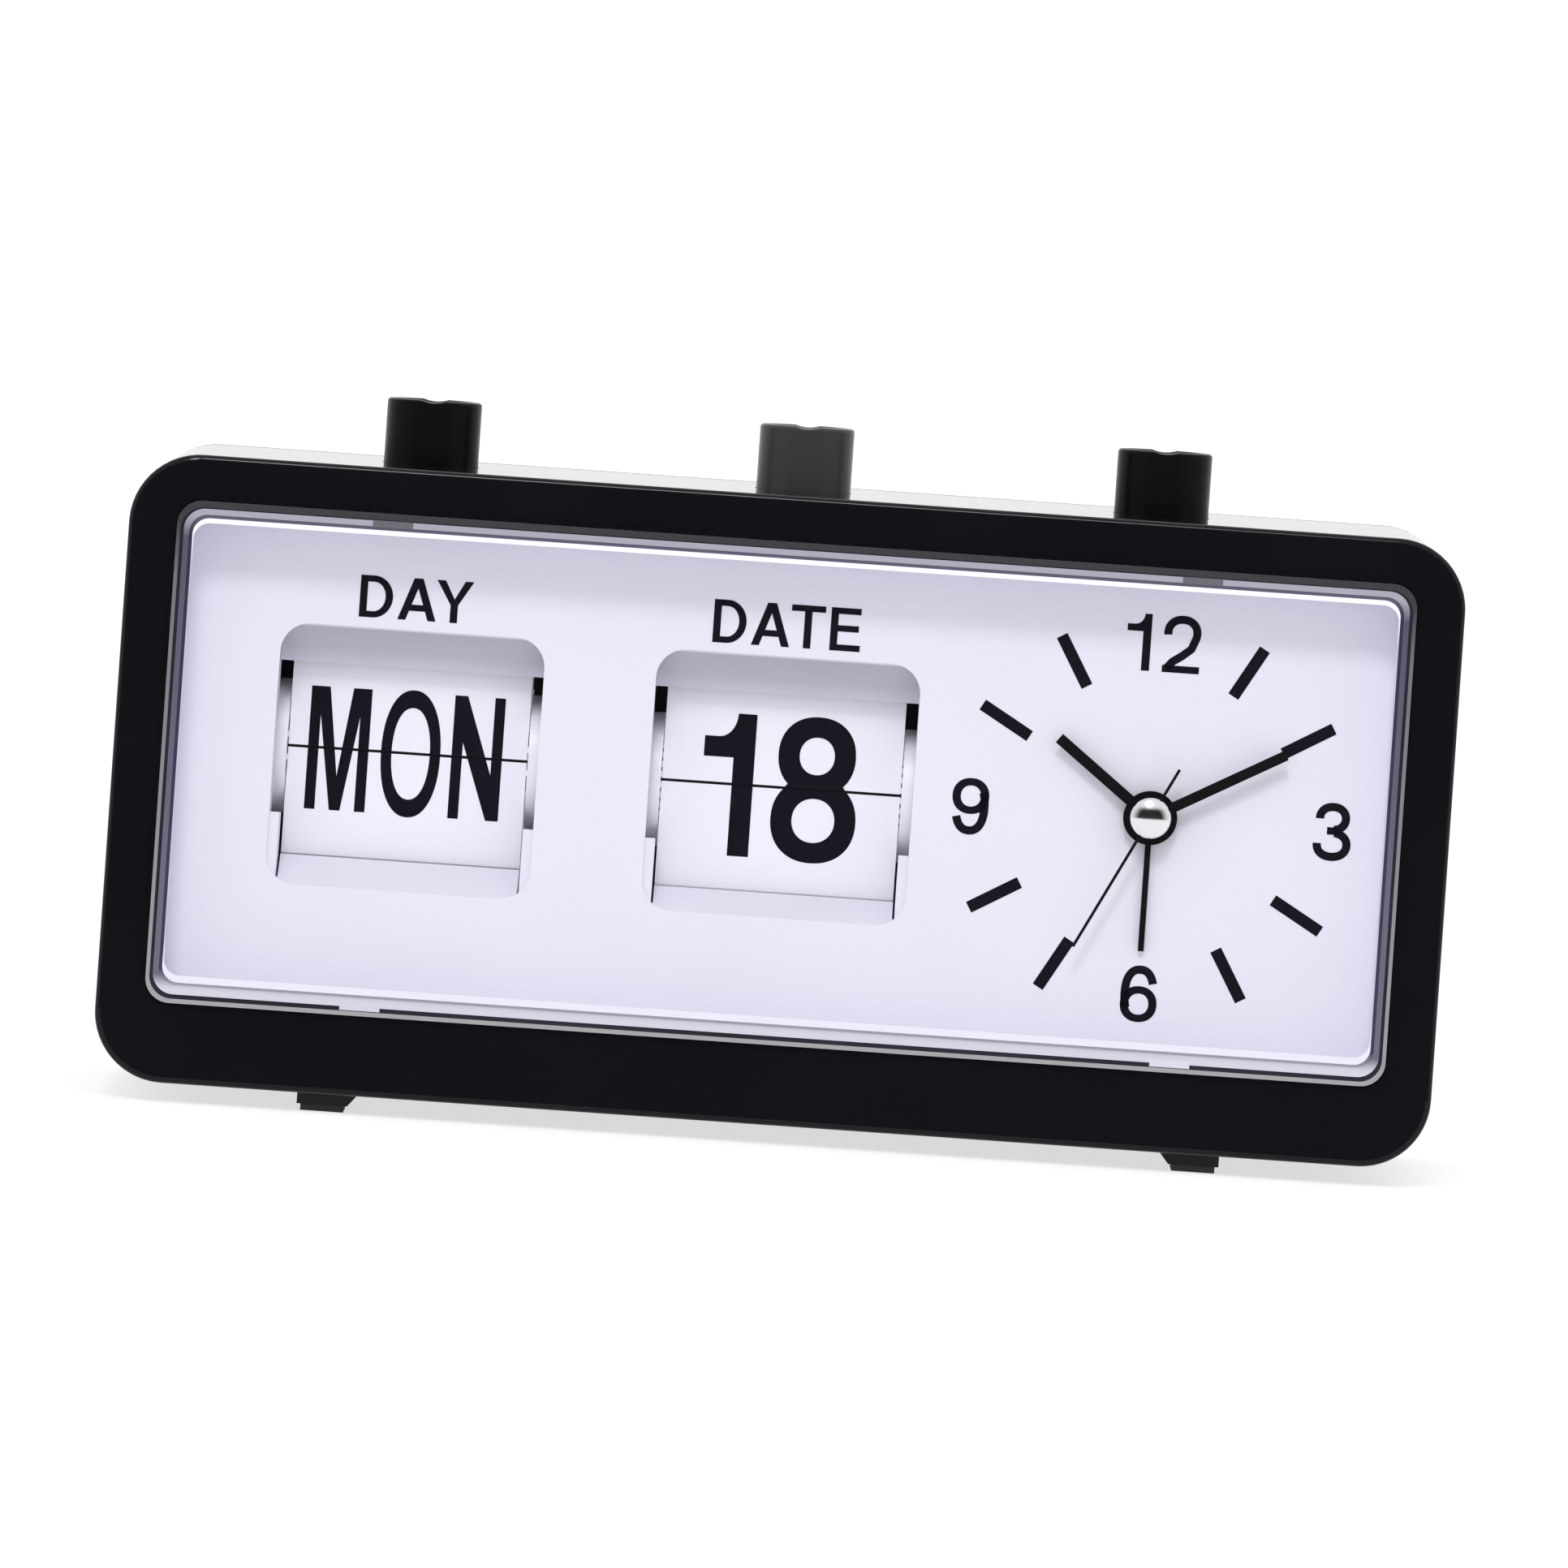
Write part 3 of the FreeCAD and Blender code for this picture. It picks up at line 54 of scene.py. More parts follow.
# Dial and its print
CLOCK_Z = 44.8
DIAL_DEPTH = 7.5
INK = 0.03
PRINT_STEM = 1.0
PRINT_BAR = 0.85
FIGURE_STEM = 1.12
FIGURE_BAR = 1.0

# Windows and leaves. The hoods' painted shade sets in between two heights up the face, and BETWEEN_WINDOWS is an x
# between the two calendars. The SPLIT and HUB lengths place painted shade along the leaves' split and on the
# drums' hubs, in one painted dark tone.
HOOD_LIP = 14.0
HOOD_LOW = 49.0
HOOD_HIGH = 52.0
BETWEEN_WINDOWS = -25.0
LEAF_HALF_THICK = 0.075
SPLIT_GAP = 0.15
SPLIT_HALF = 0.19
SPLIT_SOFT = 0.03
HUB_RADIUS = 5.0
HUB_SOFT = 0.2
# Dark tone of the painted shade in the leaves' split and on the drums' hubs
PAINTED_SHADE_TONE = (0.006, 0.006, 0.010)

# Chrome cap
CAP_BODY = "second"
CAP_RADIUS = 2.75
CAP_HEIGHT = 1.1
CAP_WALL = 0.35
CAP_LEVELS = 12

# Lens. Each edge of its border lies inside the opening by three amounts, at the sides, top and bottom. Each
# line fills the space between two edges: its material, and how far its face lies behind the lens's front. The
# lines are painted highlights and shade, standing in for light on and through the clear border.
OPENING_HALF = 83.6
OPENING_LOW = 10.7
OPENING_HIGH = 78.6
OPENING_CORNER = 3.4
LEAST_CORNER = 1.4
LENS_GAP = 0.15
LENS_FRONT = -0.8
PANE_BEHIND = 0.12
PANE_THICK = 1.8
BORDER_WIDTH = 2.0
BORDER_BACK = LENS_FRONT + 0.45
BORDER_EDGES = ((LENS_GAP, LENS_GAP, LENS_GAP), (0.65, 1.05, 0.75), (1.10, 1.20, 1.35),
                (1.85, 2.00, 2.60), (2.30, 2.45, 2.95), (2.50, 3.10, 3.90))
BORDER_LINES = (("border_outer", 0.05), ("border_painted_dark", 0.15), ("border_middle", 0.02),
                ("border_inner", 0.10), ("border_painted_highlight", 0.06))
TAB_X = 54.5
TAB_HALF = 2.7
LOW_TAB_INSET = 0.85
LOW_TAB_HEIGHT = 1.0
HIGH_TAB_INSET = 1.15
HIGH_TAB_HEIGHT = 0.95

# Picture and light
PICTURE_TURN = math.radians(4.0)
CAMERA_DISTANCE = 1800.0
CAMERA_LENS = 307.7
AIM_X = 0.27
AIM_Z = 45.94
FLOOR_TONE = 0.36
FLOOR_GLOW = 0.68
FRONT_LIGHT = 1.0
BACK_LIGHT = 1.08
BAND_LIGHT = 0.02

# Painted highlights and shade of the lens's border lines, by height up the face
RAMP_TOP = 90.0
PAINTED_RAMPS = {
    "border_painted_highlight": dict(rough=0.3, stops=(
        (16.0, (0.68, 0.67, 0.77)), (20.0, (0.44, 0.43, 0.51)), (70.0, (0.44, 0.43, 0.51)),
        (75.0, (0.80, 0.79, 0.89)))),
    "border_outer": dict(rough=0.25, stops=(
        (10.5, (0.31, 0.31, 0.33)), (14.0, (0.27, 0.27, 0.28)), (40.0, (0.20, 0.20, 0.21)),
        (68.0, (0.14, 0.14, 0.15)), (75.5, (0.040, 0.040, 0.047)))),
    "border_middle": dict(rough=0.25, stops=(
        (12.9, (0.54, 0.53, 0.61)), (14.6, (0.13, 0.12, 0.165)), (40.0, (0.11, 0.104, 0.155)),
        (73.5, (0.08, 0.074, 0.115)), (76.5, (0.33, 0.32, 0.385)))),
    "border_inner": dict(rough=0.25, stops=(
        (13.4, (0.30, 0.29, 0.37)), (15.4, (0.045, 0.037, 0.085)), (74.0, (0.032, 0.027, 0.060)),
        (76.3, (0.10, 0.09, 0.14)))),
}

# Look of every material slot of the record, and of the surfaces that only this scene adds
LOOKS = {
    "case_black": dict(color=(0.0052, 0.0055, 0.0072), rough=0.08, rough_range=0.015, specular=0.16,
                       grain=900, grain_depth=0.0002),
    "cover_black": dict(color=(0.010, 0.010, 0.012), rough=0.5, rough_range=0.06, specular=0.3, grain=2600,
                        grain_depth=0.02),
    "rubber_grey": dict(color=(0.035, 0.035, 0.037), rough=0.8, rough_range=0.08, specular=0.25, grain=2200,
                        grain_depth=0.02),
    "screw_steel": dict(color=(0.50, 0.50, 0.53), rough=0.3, rough_range=0.08, metal=1.0),
    "dial_white": dict(color=(0.74, 0.73, 0.83), rough=0.6, specular=0.2, tone=0.012, grain_depth=0.003),
    "clip_steel": dict(color=(0.42, 0.42, 0.45), rough=0.32, rough_range=0.06, metal=1.0),
    "battery_jacket": dict(color=(0.05, 0.08, 0.16), rough=0.28, coat=0.5),
    "contact_steel": dict(color=(0.72, 0.72, 0.74), rough=0.18, metal=1.0),
    "buzzer_black": dict(color=(0.02, 0.02, 0.02), rough=0.5, rough_range=0.08),
    "switch_grey": dict(color=(0.24, 0.24, 0.26), rough=0.45, rough_range=0.06, grain_depth=0.01),
    "frame_white": dict(color=(0.62, 0.62, 0.66), rough=0.5, rough_range=0.06),
    "movement_black": dict(color=(0.02, 0.02, 0.023), rough=0.45, rough_range=0.06),
    "coil_copper": dict(color=(0.55, 0.22, 0.09), rough=0.35, rough_range=0.06, metal=1.0,
                        stretch=(8, 1, 1)),
    "board_green": dict(color=(0.02, 0.12, 0.05), rough=0.4, rough_range=0.06),
    "wheel_white": dict(color=(0.74, 0.72, 0.62), rough=0.42, rough_range=0.06),
    "knob_black": dict(color=(0.012, 0.012, 0.014), rough=0.42, rough_range=0.06, specular=0.35,
                       grain_depth=0.01),
    "cap_chrome": dict(color=(0.86, 0.86, 0.89), rough=0.12, rough_range=0.02, metal=1.0,
                       grain_depth=0.0002),
    "hand_black": dict(color=(0.004, 0.004, 0.005), rough=0.35, rough_range=0.04, specular=0.12,
                       stretch=(1, 1, 12)),
    "button_black": dict(color=(0.0040, 0.0042, 0.0050), rough=0.24, rough_range=0.03, specular=0.05,
                         grain=1800, grain_depth=0.001),
    "button_grey": dict(color=(0.040, 0.040, 0.043), rough=0.26, specular=0.15, grain=1800,
                        grain_depth=0.001),
    "spring_steel": dict(color=(0.5, 0.5, 0.53), rough=0.25, rough_range=0.06, metal=1.0),
    "axle_steel": dict(color=(0.58, 0.58, 0.6), rough=0.2, metal=1.0, stretch=(1, 8, 8)),
    "drum_white": dict(color=(0.88, 0.87, 0.95), rough=0.4, rough_range=0.06, tone=0.02),
    # The leaves have a painted glow that stands in for light shining through their thin plastic.
    "leaf_white": dict(color=(0.73, 0.72, 0.81), rough=0.6, specular=0.2, tone=0.01, grain_depth=0.002,
                       painted_glow=0.11),
    "ink": dict(color=(0.0045, 0.005, 0.010), rough=0.6, specular=0.08),
    "lens_clear": dict(color=(0.01, 0.01, 0.015), rough=0.05, rough_range=0.02, specular=0.3, alpha=0.03,
                       grain_depth=0.0003),
    # The border's dark line is painted: the black case as seen through the clear rim.
    "border_painted_dark": dict(color=(0.020, 0.019, 0.030), rough=0.2, rough_range=0.04, specular=0.2, tone=0.2,
                        grain_depth=0.001),
    "skirt_light": dict(color=(0.86, 0.85, 0.94), rough=0.35, specular=0.3, tone=0.02, grain_depth=0.001),
    "border_tab_painted_lit": dict(color=(0.56, 0.55, 0.63), rough=0.3, specular=0.3, grain_depth=0.001),
    "border_notch_painted_shade": dict(color=(0.12, 0.118, 0.14), rough=0.3, specular=0.3, grain_depth=0.001),
}

joints = {joint["name"]: joint for joint in frame["joints"]}
inward = Vector(joints["minute_turn"]["axis"]).normalized()
upward = Vector((1, 0, 0)).cross(inward).normalized()
clock_centre = Vector(joints["minute_turn"]["pos_m"])
clock_x = clock_centre.x / MM
face_origin = clock_centre - inward * DIAL_DEPTH * MM - upward * CLOCK_Z * MM - Vector((clock_centre.x, 0, 0))
to_frame = Matrix.Translation(face_origin) @ Matrix((
    (1, inward.x, upward.x, 0), (0, inward.y, upward.y, 0), (0, inward.z, upward.z, 0), (0, 0, 0, 1)))


def on_face(x, y, z):
    """A point of the face frame, in the frame's metres."""
    return to_frame @ (Vector((x, y, z)) * MM)


def face_depth(joint_name):
    """How far behind the face a joint's axis lies, in millimetres."""
    return (Vector(joints[joint_name]["pos_m"]) - face_origin).dot(inward) / MM


def face_height(joint_name):
    """How far up the face a joint's axis lies, in millimetres."""
    return (Vector(joints[joint_name]["pos_m"]) - face_origin).dot(upward) / MM


# ---------------------------------------------------------------- shader nodes
def object_place(nodes):
    """The object's own coordinates, in metres."""
    return nodes.new("ShaderNodeTexCoord").outputs["Object"]


def separated(nodes, links, vector):
    """The X, Y and Z of a vector."""
    parts = nodes.new("ShaderNodeSeparateXYZ")
    links.new(vector, parts.inputs["Vector"])
    return parts.outputs


def maths(nodes, links, operation, *values):
    """One step of arithmetic."""
    step = nodes.new("ShaderNodeMath")
    step.operation = operation
    for value, socket in zip(values, step.inputs):
        links.new(value, socket)
    return step.outputs["Value"]


def vector_maths(nodes, links, operation, vector, constant):
    """One step of arithmetic between a vector and a constant one."""
    step = nodes.new("ShaderNodeVectorMath")
    step.operation = operation
    step.inputs[1].default_value = constant
    links.new(vector, step.inputs[0])
    return step.outputs


def map_range(nodes, links, value, from_low, from_high, to_low=0.0, to_high=1.0):
    """Maps one range to another and holds the value at its ends."""
    span = nodes.new("ShaderNodeMapRange")
    span.inputs["From Min"].default_value = from_low
    span.inputs["From Max"].default_value = from_high
    span.inputs["To Min"].default_value = to_low
    span.inputs["To Max"].default_value = to_high
    links.new(value, span.inputs["Value"])
    return span.outputs["Result"]


def tone_ramp(nodes, links, value, stops):
    """Colours by value. Stops are values from 0 to 1 and colours."""
    ramp = nodes.new("ShaderNodeValToRGB")
    elements = ramp.color_ramp.elements
    while len(elements) < len(stops):
        elements.new(0.5)
    for element, (position, color) in zip(elements, stops):
        element.position = position
        element.color = (*color, 1)
    links.new(value, ramp.inputs["Fac"])
    return ramp.outputs["Color"]


def noise(nodes, links, scale, detail=3.0, stretch=(1, 1, 1)):
    """Noise in the object's own metres. scale counts features per metre."""
    mapping = nodes.new("ShaderNodeMapping")
    mapping.inputs["Scale"].default_value = stretch
    texture = nodes.new("ShaderNodeTexNoise")
    texture.inputs["Scale"].default_value = scale
    texture.inputs["Detail"].default_value = detail
    links.new(object_place(nodes), mapping.inputs["Vector"])
    links.new(mapping.outputs["Vector"], texture.inputs["Vector"])
    return texture.outputs["Fac"]


def spread(nodes, links, value, low, high):
    """Maps noise about one half to a range."""
    return map_range(nodes, links, value, 0.3, 0.7, low, high)


def relief(nodes, links, shader, grain, depth):
    """Fine relief from noise. Its depth is in millimetres."""
    bump = nodes.new("ShaderNodeBump")
    bump.inputs["Strength"].default_value = 1.0
    bump.inputs["Distance"].default_value = depth * MM
    links.new(grain, bump.inputs["Height"])
    links.new(bump.outputs["Normal"], shader.inputs["Normal"])


# ---------------------------------------------------------------- materials
def new_material(name):
    material = bpy.data.materials.new(name)
    material.use_nodes = True
    nodes = material.node_tree.nodes
    nodes.clear()
    output = nodes.new("ShaderNodeOutputMaterial")
    shader = nodes.new("ShaderNodeBsdfPrincipled")
    material.node_tree.links.new(shader.outputs["BSDF"], output.inputs["Surface"])
    return material, nodes, material.node_tree.links, shader


def surface(name, color, rough, rough_range=0.05, specular=0.5, metal=0.0, grain=3000.0, grain_depth=0.004,
            tone=0.08, stretch=(1, 1, 1), alpha=1.0, coat=0.0, painted_glow=0.0):
    """A moulded, turned or drawn surface: colour, gloss and fine relief all vary a little."""
    material, nodes, links, shader = new_material(name)
    broad = noise(nodes, links, 45.0, 2.0)
    fine = noise(nodes, links, grain, 4.0, stretch)
    blend = nodes.new("ShaderNodeMix")
    blend.data_type = "RGBA"
    blend.inputs["A"].default_value = (*[channel * (1 - tone) for channel in color], 1)
    blend.inputs["B"].default_value = (*[min(1, channel * (1 + tone)) for channel in color], 1)
    links.new(spread(nodes, links, broad, 0, 1), blend.inputs["Factor"])
    links.new(blend.outputs["Result"], shader.inputs["Base Color"])
    gloss = spread(nodes, links, fine, rough - rough_range, rough + rough_range)
    links.new(gloss, shader.inputs["Roughness"])
    relief(nodes, links, shader, fine, grain_depth)
    shader.inputs["Metallic"].default_value = metal
    shader.inputs["Specular IOR Level"].default_value = specular
    shader.inputs["Alpha"].default_value = alpha
    shader.inputs["Coat Weight"].default_value = coat
    # Emission here is a painted glow; these surfaces are no lamps.
    shader.inputs["Emission Color"].default_value = (0.98, 0.97, 1, 1)
    shader.inputs["Emission Strength"].default_value = painted_glow
    return material


def painted_light_ramp(name, stops, rough):
    """A glossy clear edge whose painted highlight and shade change up the face. Stops are heights in millimetres
    and colours.
    """
    material, nodes, links, shader = new_material(name)
    rise = separated(nodes, links, object_place(nodes))["Z"]
    height = map_range(nodes, links, rise, on_face(0, 0, 0).z, on_face(0, 0, RAMP_TOP).z)
    color = tone_ramp(nodes, links, height, [(up / RAMP_TOP, color) for up, color in stops])
    links.new(color, shader.inputs["Base Color"])
    relief(nodes, links, shader, noise(nodes, links, 500.0, 2.0), 0.002)
    shader.inputs["Roughness"].default_value = rough
    shader.inputs["Specular IOR Level"].default_value = 0.2
    return material


def color_parts(material):
    """A material's nodes and links, its shader, and what feeds the shader's colour."""
    nodes = material.node_tree.nodes
    shader = next(node for node in nodes if node.type == "BSDF_PRINCIPLED")
    return nodes, material.node_tree.links, shader, shader.inputs["Base Color"].links[0].from_socket


def paint_hood_shade(material):
    """Painted shade: the dial plate is darkened where its window hoods slope away behind its front, where the
    recess lies in shadow.
    """
    nodes, links, shader, plain = color_parts(material)
    place = object_place(nodes)
    depth = vector_maths(nodes, links, "DOT_PRODUCT", place, inward)["Value"]
    front = face_origin.dot(inward)
    behind = map_range(nodes, links, depth, front + DIAL_DEPTH * MM, front + HOOD_LIP * MM)
    rise = separated(nodes, links, place)["Z"]
    upper = map_range(nodes, links, rise, on_face(0, 0, HOOD_LOW).z, on_face(0, 0, HOOD_HIGH).z)
    tones = ((0.02, 1.0), (0.06, 0.62), (0.55, 0.70), (1.0, 0.95))
    darken = nodes.new("ShaderNodeMix")
    darken.data_type = "RGBA"
    darken.blend_type = "MULTIPLY"
    links.new(upper, darken.inputs["Factor"])
    links.new(plain, darken.inputs["A"])
    shade = tone_ramp(nodes, links, behind, [(position, (tone, tone, tone)) for position, tone in tones])
    links.new(shade, darken.inputs["B"])
    links.new(darken.outputs["Result"], shader.inputs["Base Color"])


def paint_shade(nodes, links, shader, plain, clear):
    """The plain colour where clear is 1, and the dark of painted shade where it is 0."""
    tone = nodes.new("ShaderNodeMix")
    tone.data_type = "RGBA"
    tone.inputs["A"].default_value = (*PAINTED_SHADE_TONE, 1)
    links.new(clear, tone.inputs["Factor"])
    links.new(plain, tone.inputs["B"])
    links.new(tone.outputs["Result"], shader.inputs["Base Color"])


def paint_split_shade(material):
    """Painted shade: the leaves are darkened, and their painted glow dimmed, along the split between a calendar's
    upper and lower leaf, where the gap lies in shadow.
    """
    nodes, links, shader, plain = color_parts(material)
    place = object_place(nodes)
    across = separated(nodes, links, place)["X"]
    height = vector_maths(nodes, links, "DOT_PRODUCT", place, upward)["Value"]
    foot = face_origin.dot(upward)
    day = foot + face_height("day_drum_step") * MM
    date = foot + face_height("date_drum_step") * MM
    split = map_range(nodes, links, across, (BETWEEN_WINDOWS - 1) * MM, BETWEEN_WINDOWS * MM, day, date)
    away = maths(nodes, links, "ABSOLUTE", maths(nodes, links, "SUBTRACT", height, split))
    edges = ((SPLIT_HALF - SPLIT_SOFT) * MM, (SPLIT_HALF + SPLIT_SOFT) * MM)
    paint_shade(nodes, links, shader, plain, map_range(nodes, links, away, *edges))
    painted_glow = shader.inputs["Emission Strength"].default_value
    links.new(map_range(nodes, links, away, *edges, 0, painted_glow), shader.inputs["Emission Strength"])


def paint_hub_shade(material):
    """Painted shade: the drums' hubs are darkened, so that the split between two leaves shows nothing bright
    behind it.
    """
    nodes, links, shader, plain = color_parts(material)
    axis = (Vector(joints["day_drum_step"]["pos_m"]) + Vector(joints["date_drum_step"]["pos_m"])) / 2
    flat = vector_maths(nodes, links, "MULTIPLY", object_place(nodes), (0, 1, 1))["Vector"]
    reach = vector_maths(nodes, links, "DISTANCE", flat, (0, axis.y, axis.z))["Value"]
    outside = map_range(nodes, links, reach, HUB_RADIUS * MM, (HUB_RADIUS + HUB_SOFT) * MM)
    paint_shade(nodes, links, shader, plain, outside)


def make_materials():
    made = {name: surface(name, **look) for name, look in LOOKS.items()}
    made.update({name: painted_light_ramp(name, **look) for name, look in PAINTED_RAMPS.items()})
    paint_hood_shade(made["dial_white"])
    paint_split_shade(made["leaf_white"])
    paint_hub_shade(made["drum_white"])
    return made


materials = make_materials()


def dress_nodes():
    """Every CAD node takes the material of its slot."""
    for row in frame["record"]["subparts"]:
        node = frame["nodes"][row["node"]]
        material = materials[row["material_slot"]]
        if not node.material_slots:
            node.data.materials.append(material)
        for place in node.material_slots:
            place.material = material


# ---------------------------------------------------------------- outlines and solids
def arc(x, z, radius_x, radius_z, start, end, power=2):
    """Points along an oval's arc. Degrees from +x towards +z. An ellipse has power 2, and more is squarer."""
    span = math.radians(end - start)
    steps = max(2, math.ceil(abs(span) / ARC_STEP))
    points = []
    for step in range(steps + 1):
        angle = math.radians(start) + span * step / steps
        cosine = math.cos(angle)
        sine = math.sin(angle)
        points.append((x + math.copysign(radius_x * abs(cosine) ** (2 / power), cosine),
                       z + math.copysign(radius_z * abs(sine) ** (2 / power), sine)))
    return points


def oval(x, z, radius_x, radius_z, power=2):
    return arc(x, z, radius_x, radius_z, 0, 360, power)[:-1]


def ring_outline(left, right, low, high, corner):
    """Rounded rectangle, anticlockwise from its lower left corner."""
    points = arc(left + corner, low + corner, corner, corner, 180, 270)
    points += arc(right - corner, low + corner, corner, corner, 270, 360)
    points += arc(right - corner, high - corner, corner, corner, 0, 90)
    points += arc(left + corner, high - corner, corner, corner, 90, 180)
    return points


def stroke(points, thick):
    """Outline of a pen line of even thickness along points."""
    left = []
    right = []
    for number, point in enumerate(points):
        before = points[max(0, number - 1)]
        after = points[min(len(points) - 1, number + 1)]
        along = Vector((after[0] - before[0], after[1] - before[1])).normalized()
        side = Vector((-along.y, along.x)) * thick / 2
        left.append((point[0] + side.x, point[1] + side.y))
        right.append((point[0] - side.x, point[1] - side.y))
    return left + right[::-1]


def filled_mesh(name, shapes, y0, y1):
    """Solid letters or plates: each shape is a list of outlines in x and z, the first round the others."""
    whole = bmesh.new()
    for outlines in shapes:
        curve = bpy.data.curves.new(name, "CURVE")
        curve.dimensions = "2D"
        curve.fill_mode = "BOTH"
        curve.extrude = (y1 - y0) / 2
        for outline in outlines:
            spline = curve.splines.new("POLY")
            spline.points.add(len(outline) - 1)
            for point, (x, z) in zip(spline.points, outline):
                point.co = (x, z, 0, 1)
            spline.use_cyclic_u = True
        holder = bpy.data.objects.new(name, curve)
        mesh = bpy.data.meshes.new_from_object(holder)
        whole.from_mesh(mesh)
        bpy.data.objects.remove(holder)
        bpy.data.curves.remove(curve)
        bpy.data.meshes.remove(mesh)
    bmesh.ops.remove_doubles(whole, verts=whole.verts, dist=1e-5)
    for vertex in whole.verts:
        x, z, lift = vertex.co
        vertex.co = (x, (y0 + y1) / 2 - lift, z)
    return whole


def keep_side(mesh, height, above):
    """Cuts a solid at a height up the face and keeps the part above or below."""
    normal = (0, 0, -1) if above else (0, 0, 1)
    geometry = mesh.verts[:] + mesh.edges[:] + mesh.faces[:]
    cut = bmesh.ops.bisect_plane(mesh, geom=geometry, plane_co=(0, 0, height), plane_no=normal,
                                 clear_outer=True)
    edges = [item for item in cut["geom_cut"] if isinstance(item, bmesh.types.BMEdge)]
    if edges:
        bmesh.ops.holes_fill(mesh, edges=edges, sides=0)


def piece(name, mesh, material, body, smooth=False):
    """Turns a bmesh of the face frame into an object that rides on a body."""
    mesh.transform(Matrix.Scale(MM, 4))
    mesh.transform(to_frame)
    bmesh.ops.recalc_face_normals(mesh, faces=mesh.faces)
    data = bpy.data.meshes.new(name)
    mesh.to_mesh(data)
    mesh.free()
    for polygon in data.polygons:
        polygon.use_smooth = smooth
    data.materials.append(materials[material])
    made = bpy.data.objects.new(name, data)
    bpy.context.scene.collection.objects.link(made)
    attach(made, body)
    return made


# ---------------------------------------------------------------- letters and figures
# Each is drawn in a box from 0, 0 to its width and height. stem is the thickness of its upright strokes, and
# bar that of its level ones. It returns shapes, each an outline and the holes in it.
def letter_d(width, height, stem, bar):
    waist = width * 0.42
    middle = height / 2
    outer = [(0, height), (0, 0)] + arc(waist, middle, width - waist, middle, -90, 90)
    inner = [(stem, height - bar), (stem, bar)]
    inner += arc(waist, middle, width - waist - stem, middle - bar, -90, 90)
    return [[outer, inner]]


def letter_a(width, height, stem, bar):
    middle = width / 2
    half_top = stem * 0.60
    foot = stem * 1.08
    bar_low = height * 0.22
    bar_high = bar_low + bar

    def inside(z):
        return foot + (middle - half_top) * z / height

    apex = (middle - foot) * height / (middle - half_top)
    outer = [(0, 0), (foot, 0), (inside(bar_low), bar_low), (width - inside(bar_low), bar_low),
             (width - foot, 0), (width, 0), (middle + half_top, height), (middle - half_top, height)]
    inner = [(inside(bar_high), bar_high), (width - inside(bar_high), bar_high), (middle, apex)]
    return [[outer, inner]]


def letter_y(width, height, stem, bar):
    left = width / 2 - stem / 2
    right = width / 2 + stem / 2
    fork = height * 0.42
    arm = stem * 1.15
    notch = fork + height * 0.14
    return [[[(left, 0), (right, 0), (right, fork), (width, height), (width - arm, height),
              (width / 2, notch), (arm, height), (0, height), (left, fork)]]]


def letter_t(width, height, stem, bar):
    left = width / 2 - stem / 2
    right = width / 2 + stem / 2
    under = height - bar
    return [[[(left, 0), (right, 0), (right, under), (width, under), (width, height), (0, height), (0, under),
              (left, under)]]]


def letter_e(width, height, stem, bar):
    low = height * 0.52 - bar / 2
    high = height * 0.52 + bar / 2
    arm = width * 0.93
    top_arm = width * 0.98
    under = height - bar
    return [[[(0, 0), (width, 0), (width, bar), (stem, bar), (stem, low), (arm, low), (arm, high),
              (stem, high), (stem, under), (top_arm, under), (top_arm, height), (0, height)]]]


def letter_m(width, height, stem, bar):
    middle = width / 2
    shoulder = stem * 1.76
    valley = height * 0.28
    point = stem * 0.5
    inner_top = height * 0.77
    return [[[(0, 0), (stem, 0), (stem, inner_top), (middle - point, 0), (middle + point, 0),
              (width - stem, inner_top), (width - stem, 0), (width, 0), (width, height),
              (width - shoulder, height), (middle, valley), (shoulder, height), (0, height)]]]


def letter_n(width, height, stem, bar):
    shoulder = stem * 1.2
    left_join = height * 0.62
    right_join = height * 0.37
    return [[[(0, 0), (stem, 0), (stem, left_join), (width - shoulder, 0), (width, 0), (width, height),
              (width - stem, height), (width - stem, right_join), (shoulder, height), (0, height)]]]


def letter_o(width, height, stem, bar):
    over = height * 0.017
    power = 2.2
    return [[oval(width / 2, height / 2, width / 2, height / 2 + over, power),
             oval(width / 2, height / 2, width / 2 - stem, height / 2 + over - bar, power)]]


def figure_1(width, height, stem, bar):
    flag_low = height * 0.69
    flag_high = flag_low + bar
    top = width - stem * 0.89
    flat = (width - stem) * 0.48
    curl = arc(flat, height, top - flat, height - flag_high, 0, -90)
    return [[[(width - stem, 0), (width, 0), (width, height)] + curl
             + [(0, flag_high), (0, flag_low), (width - stem, flag_low)]]]


def figure_8(width, height, stem, bar):
    over = height * 0.013
    low_z = height * 0.285
    top_z = height * 0.738
    low = (width * 0.5, low_z + over)
    top = (width * 0.455, height + over - top_z)
    power = 2.2
    hole_power = 2.1
    steps = 48
    right = []
    for step in range(steps + 1):
        z = height / 2 - (height / 2 + over) * math.cos(math.pi * step / steps)
        widths = [0.0]
        for middle, (radius_x, radius_z) in ((top_z, top), (low_z, low)):
            share = 1 - abs((z - middle) / radius_z) ** power
            if share > 0:
                widths.append(radius_x * share ** (1 / power))
        right.append((width / 2 + max(widths), z))
    left = [(width - x, z) for x, z in right[1:-1]]
    holes = [oval(width / 2, low_z, low[0] - stem, low[1] - bar, hole_power),
             oval(width / 2, top_z, top[0] - stem, top[1] - bar, hole_power)]
    return [[right + left[::-1]] + holes]


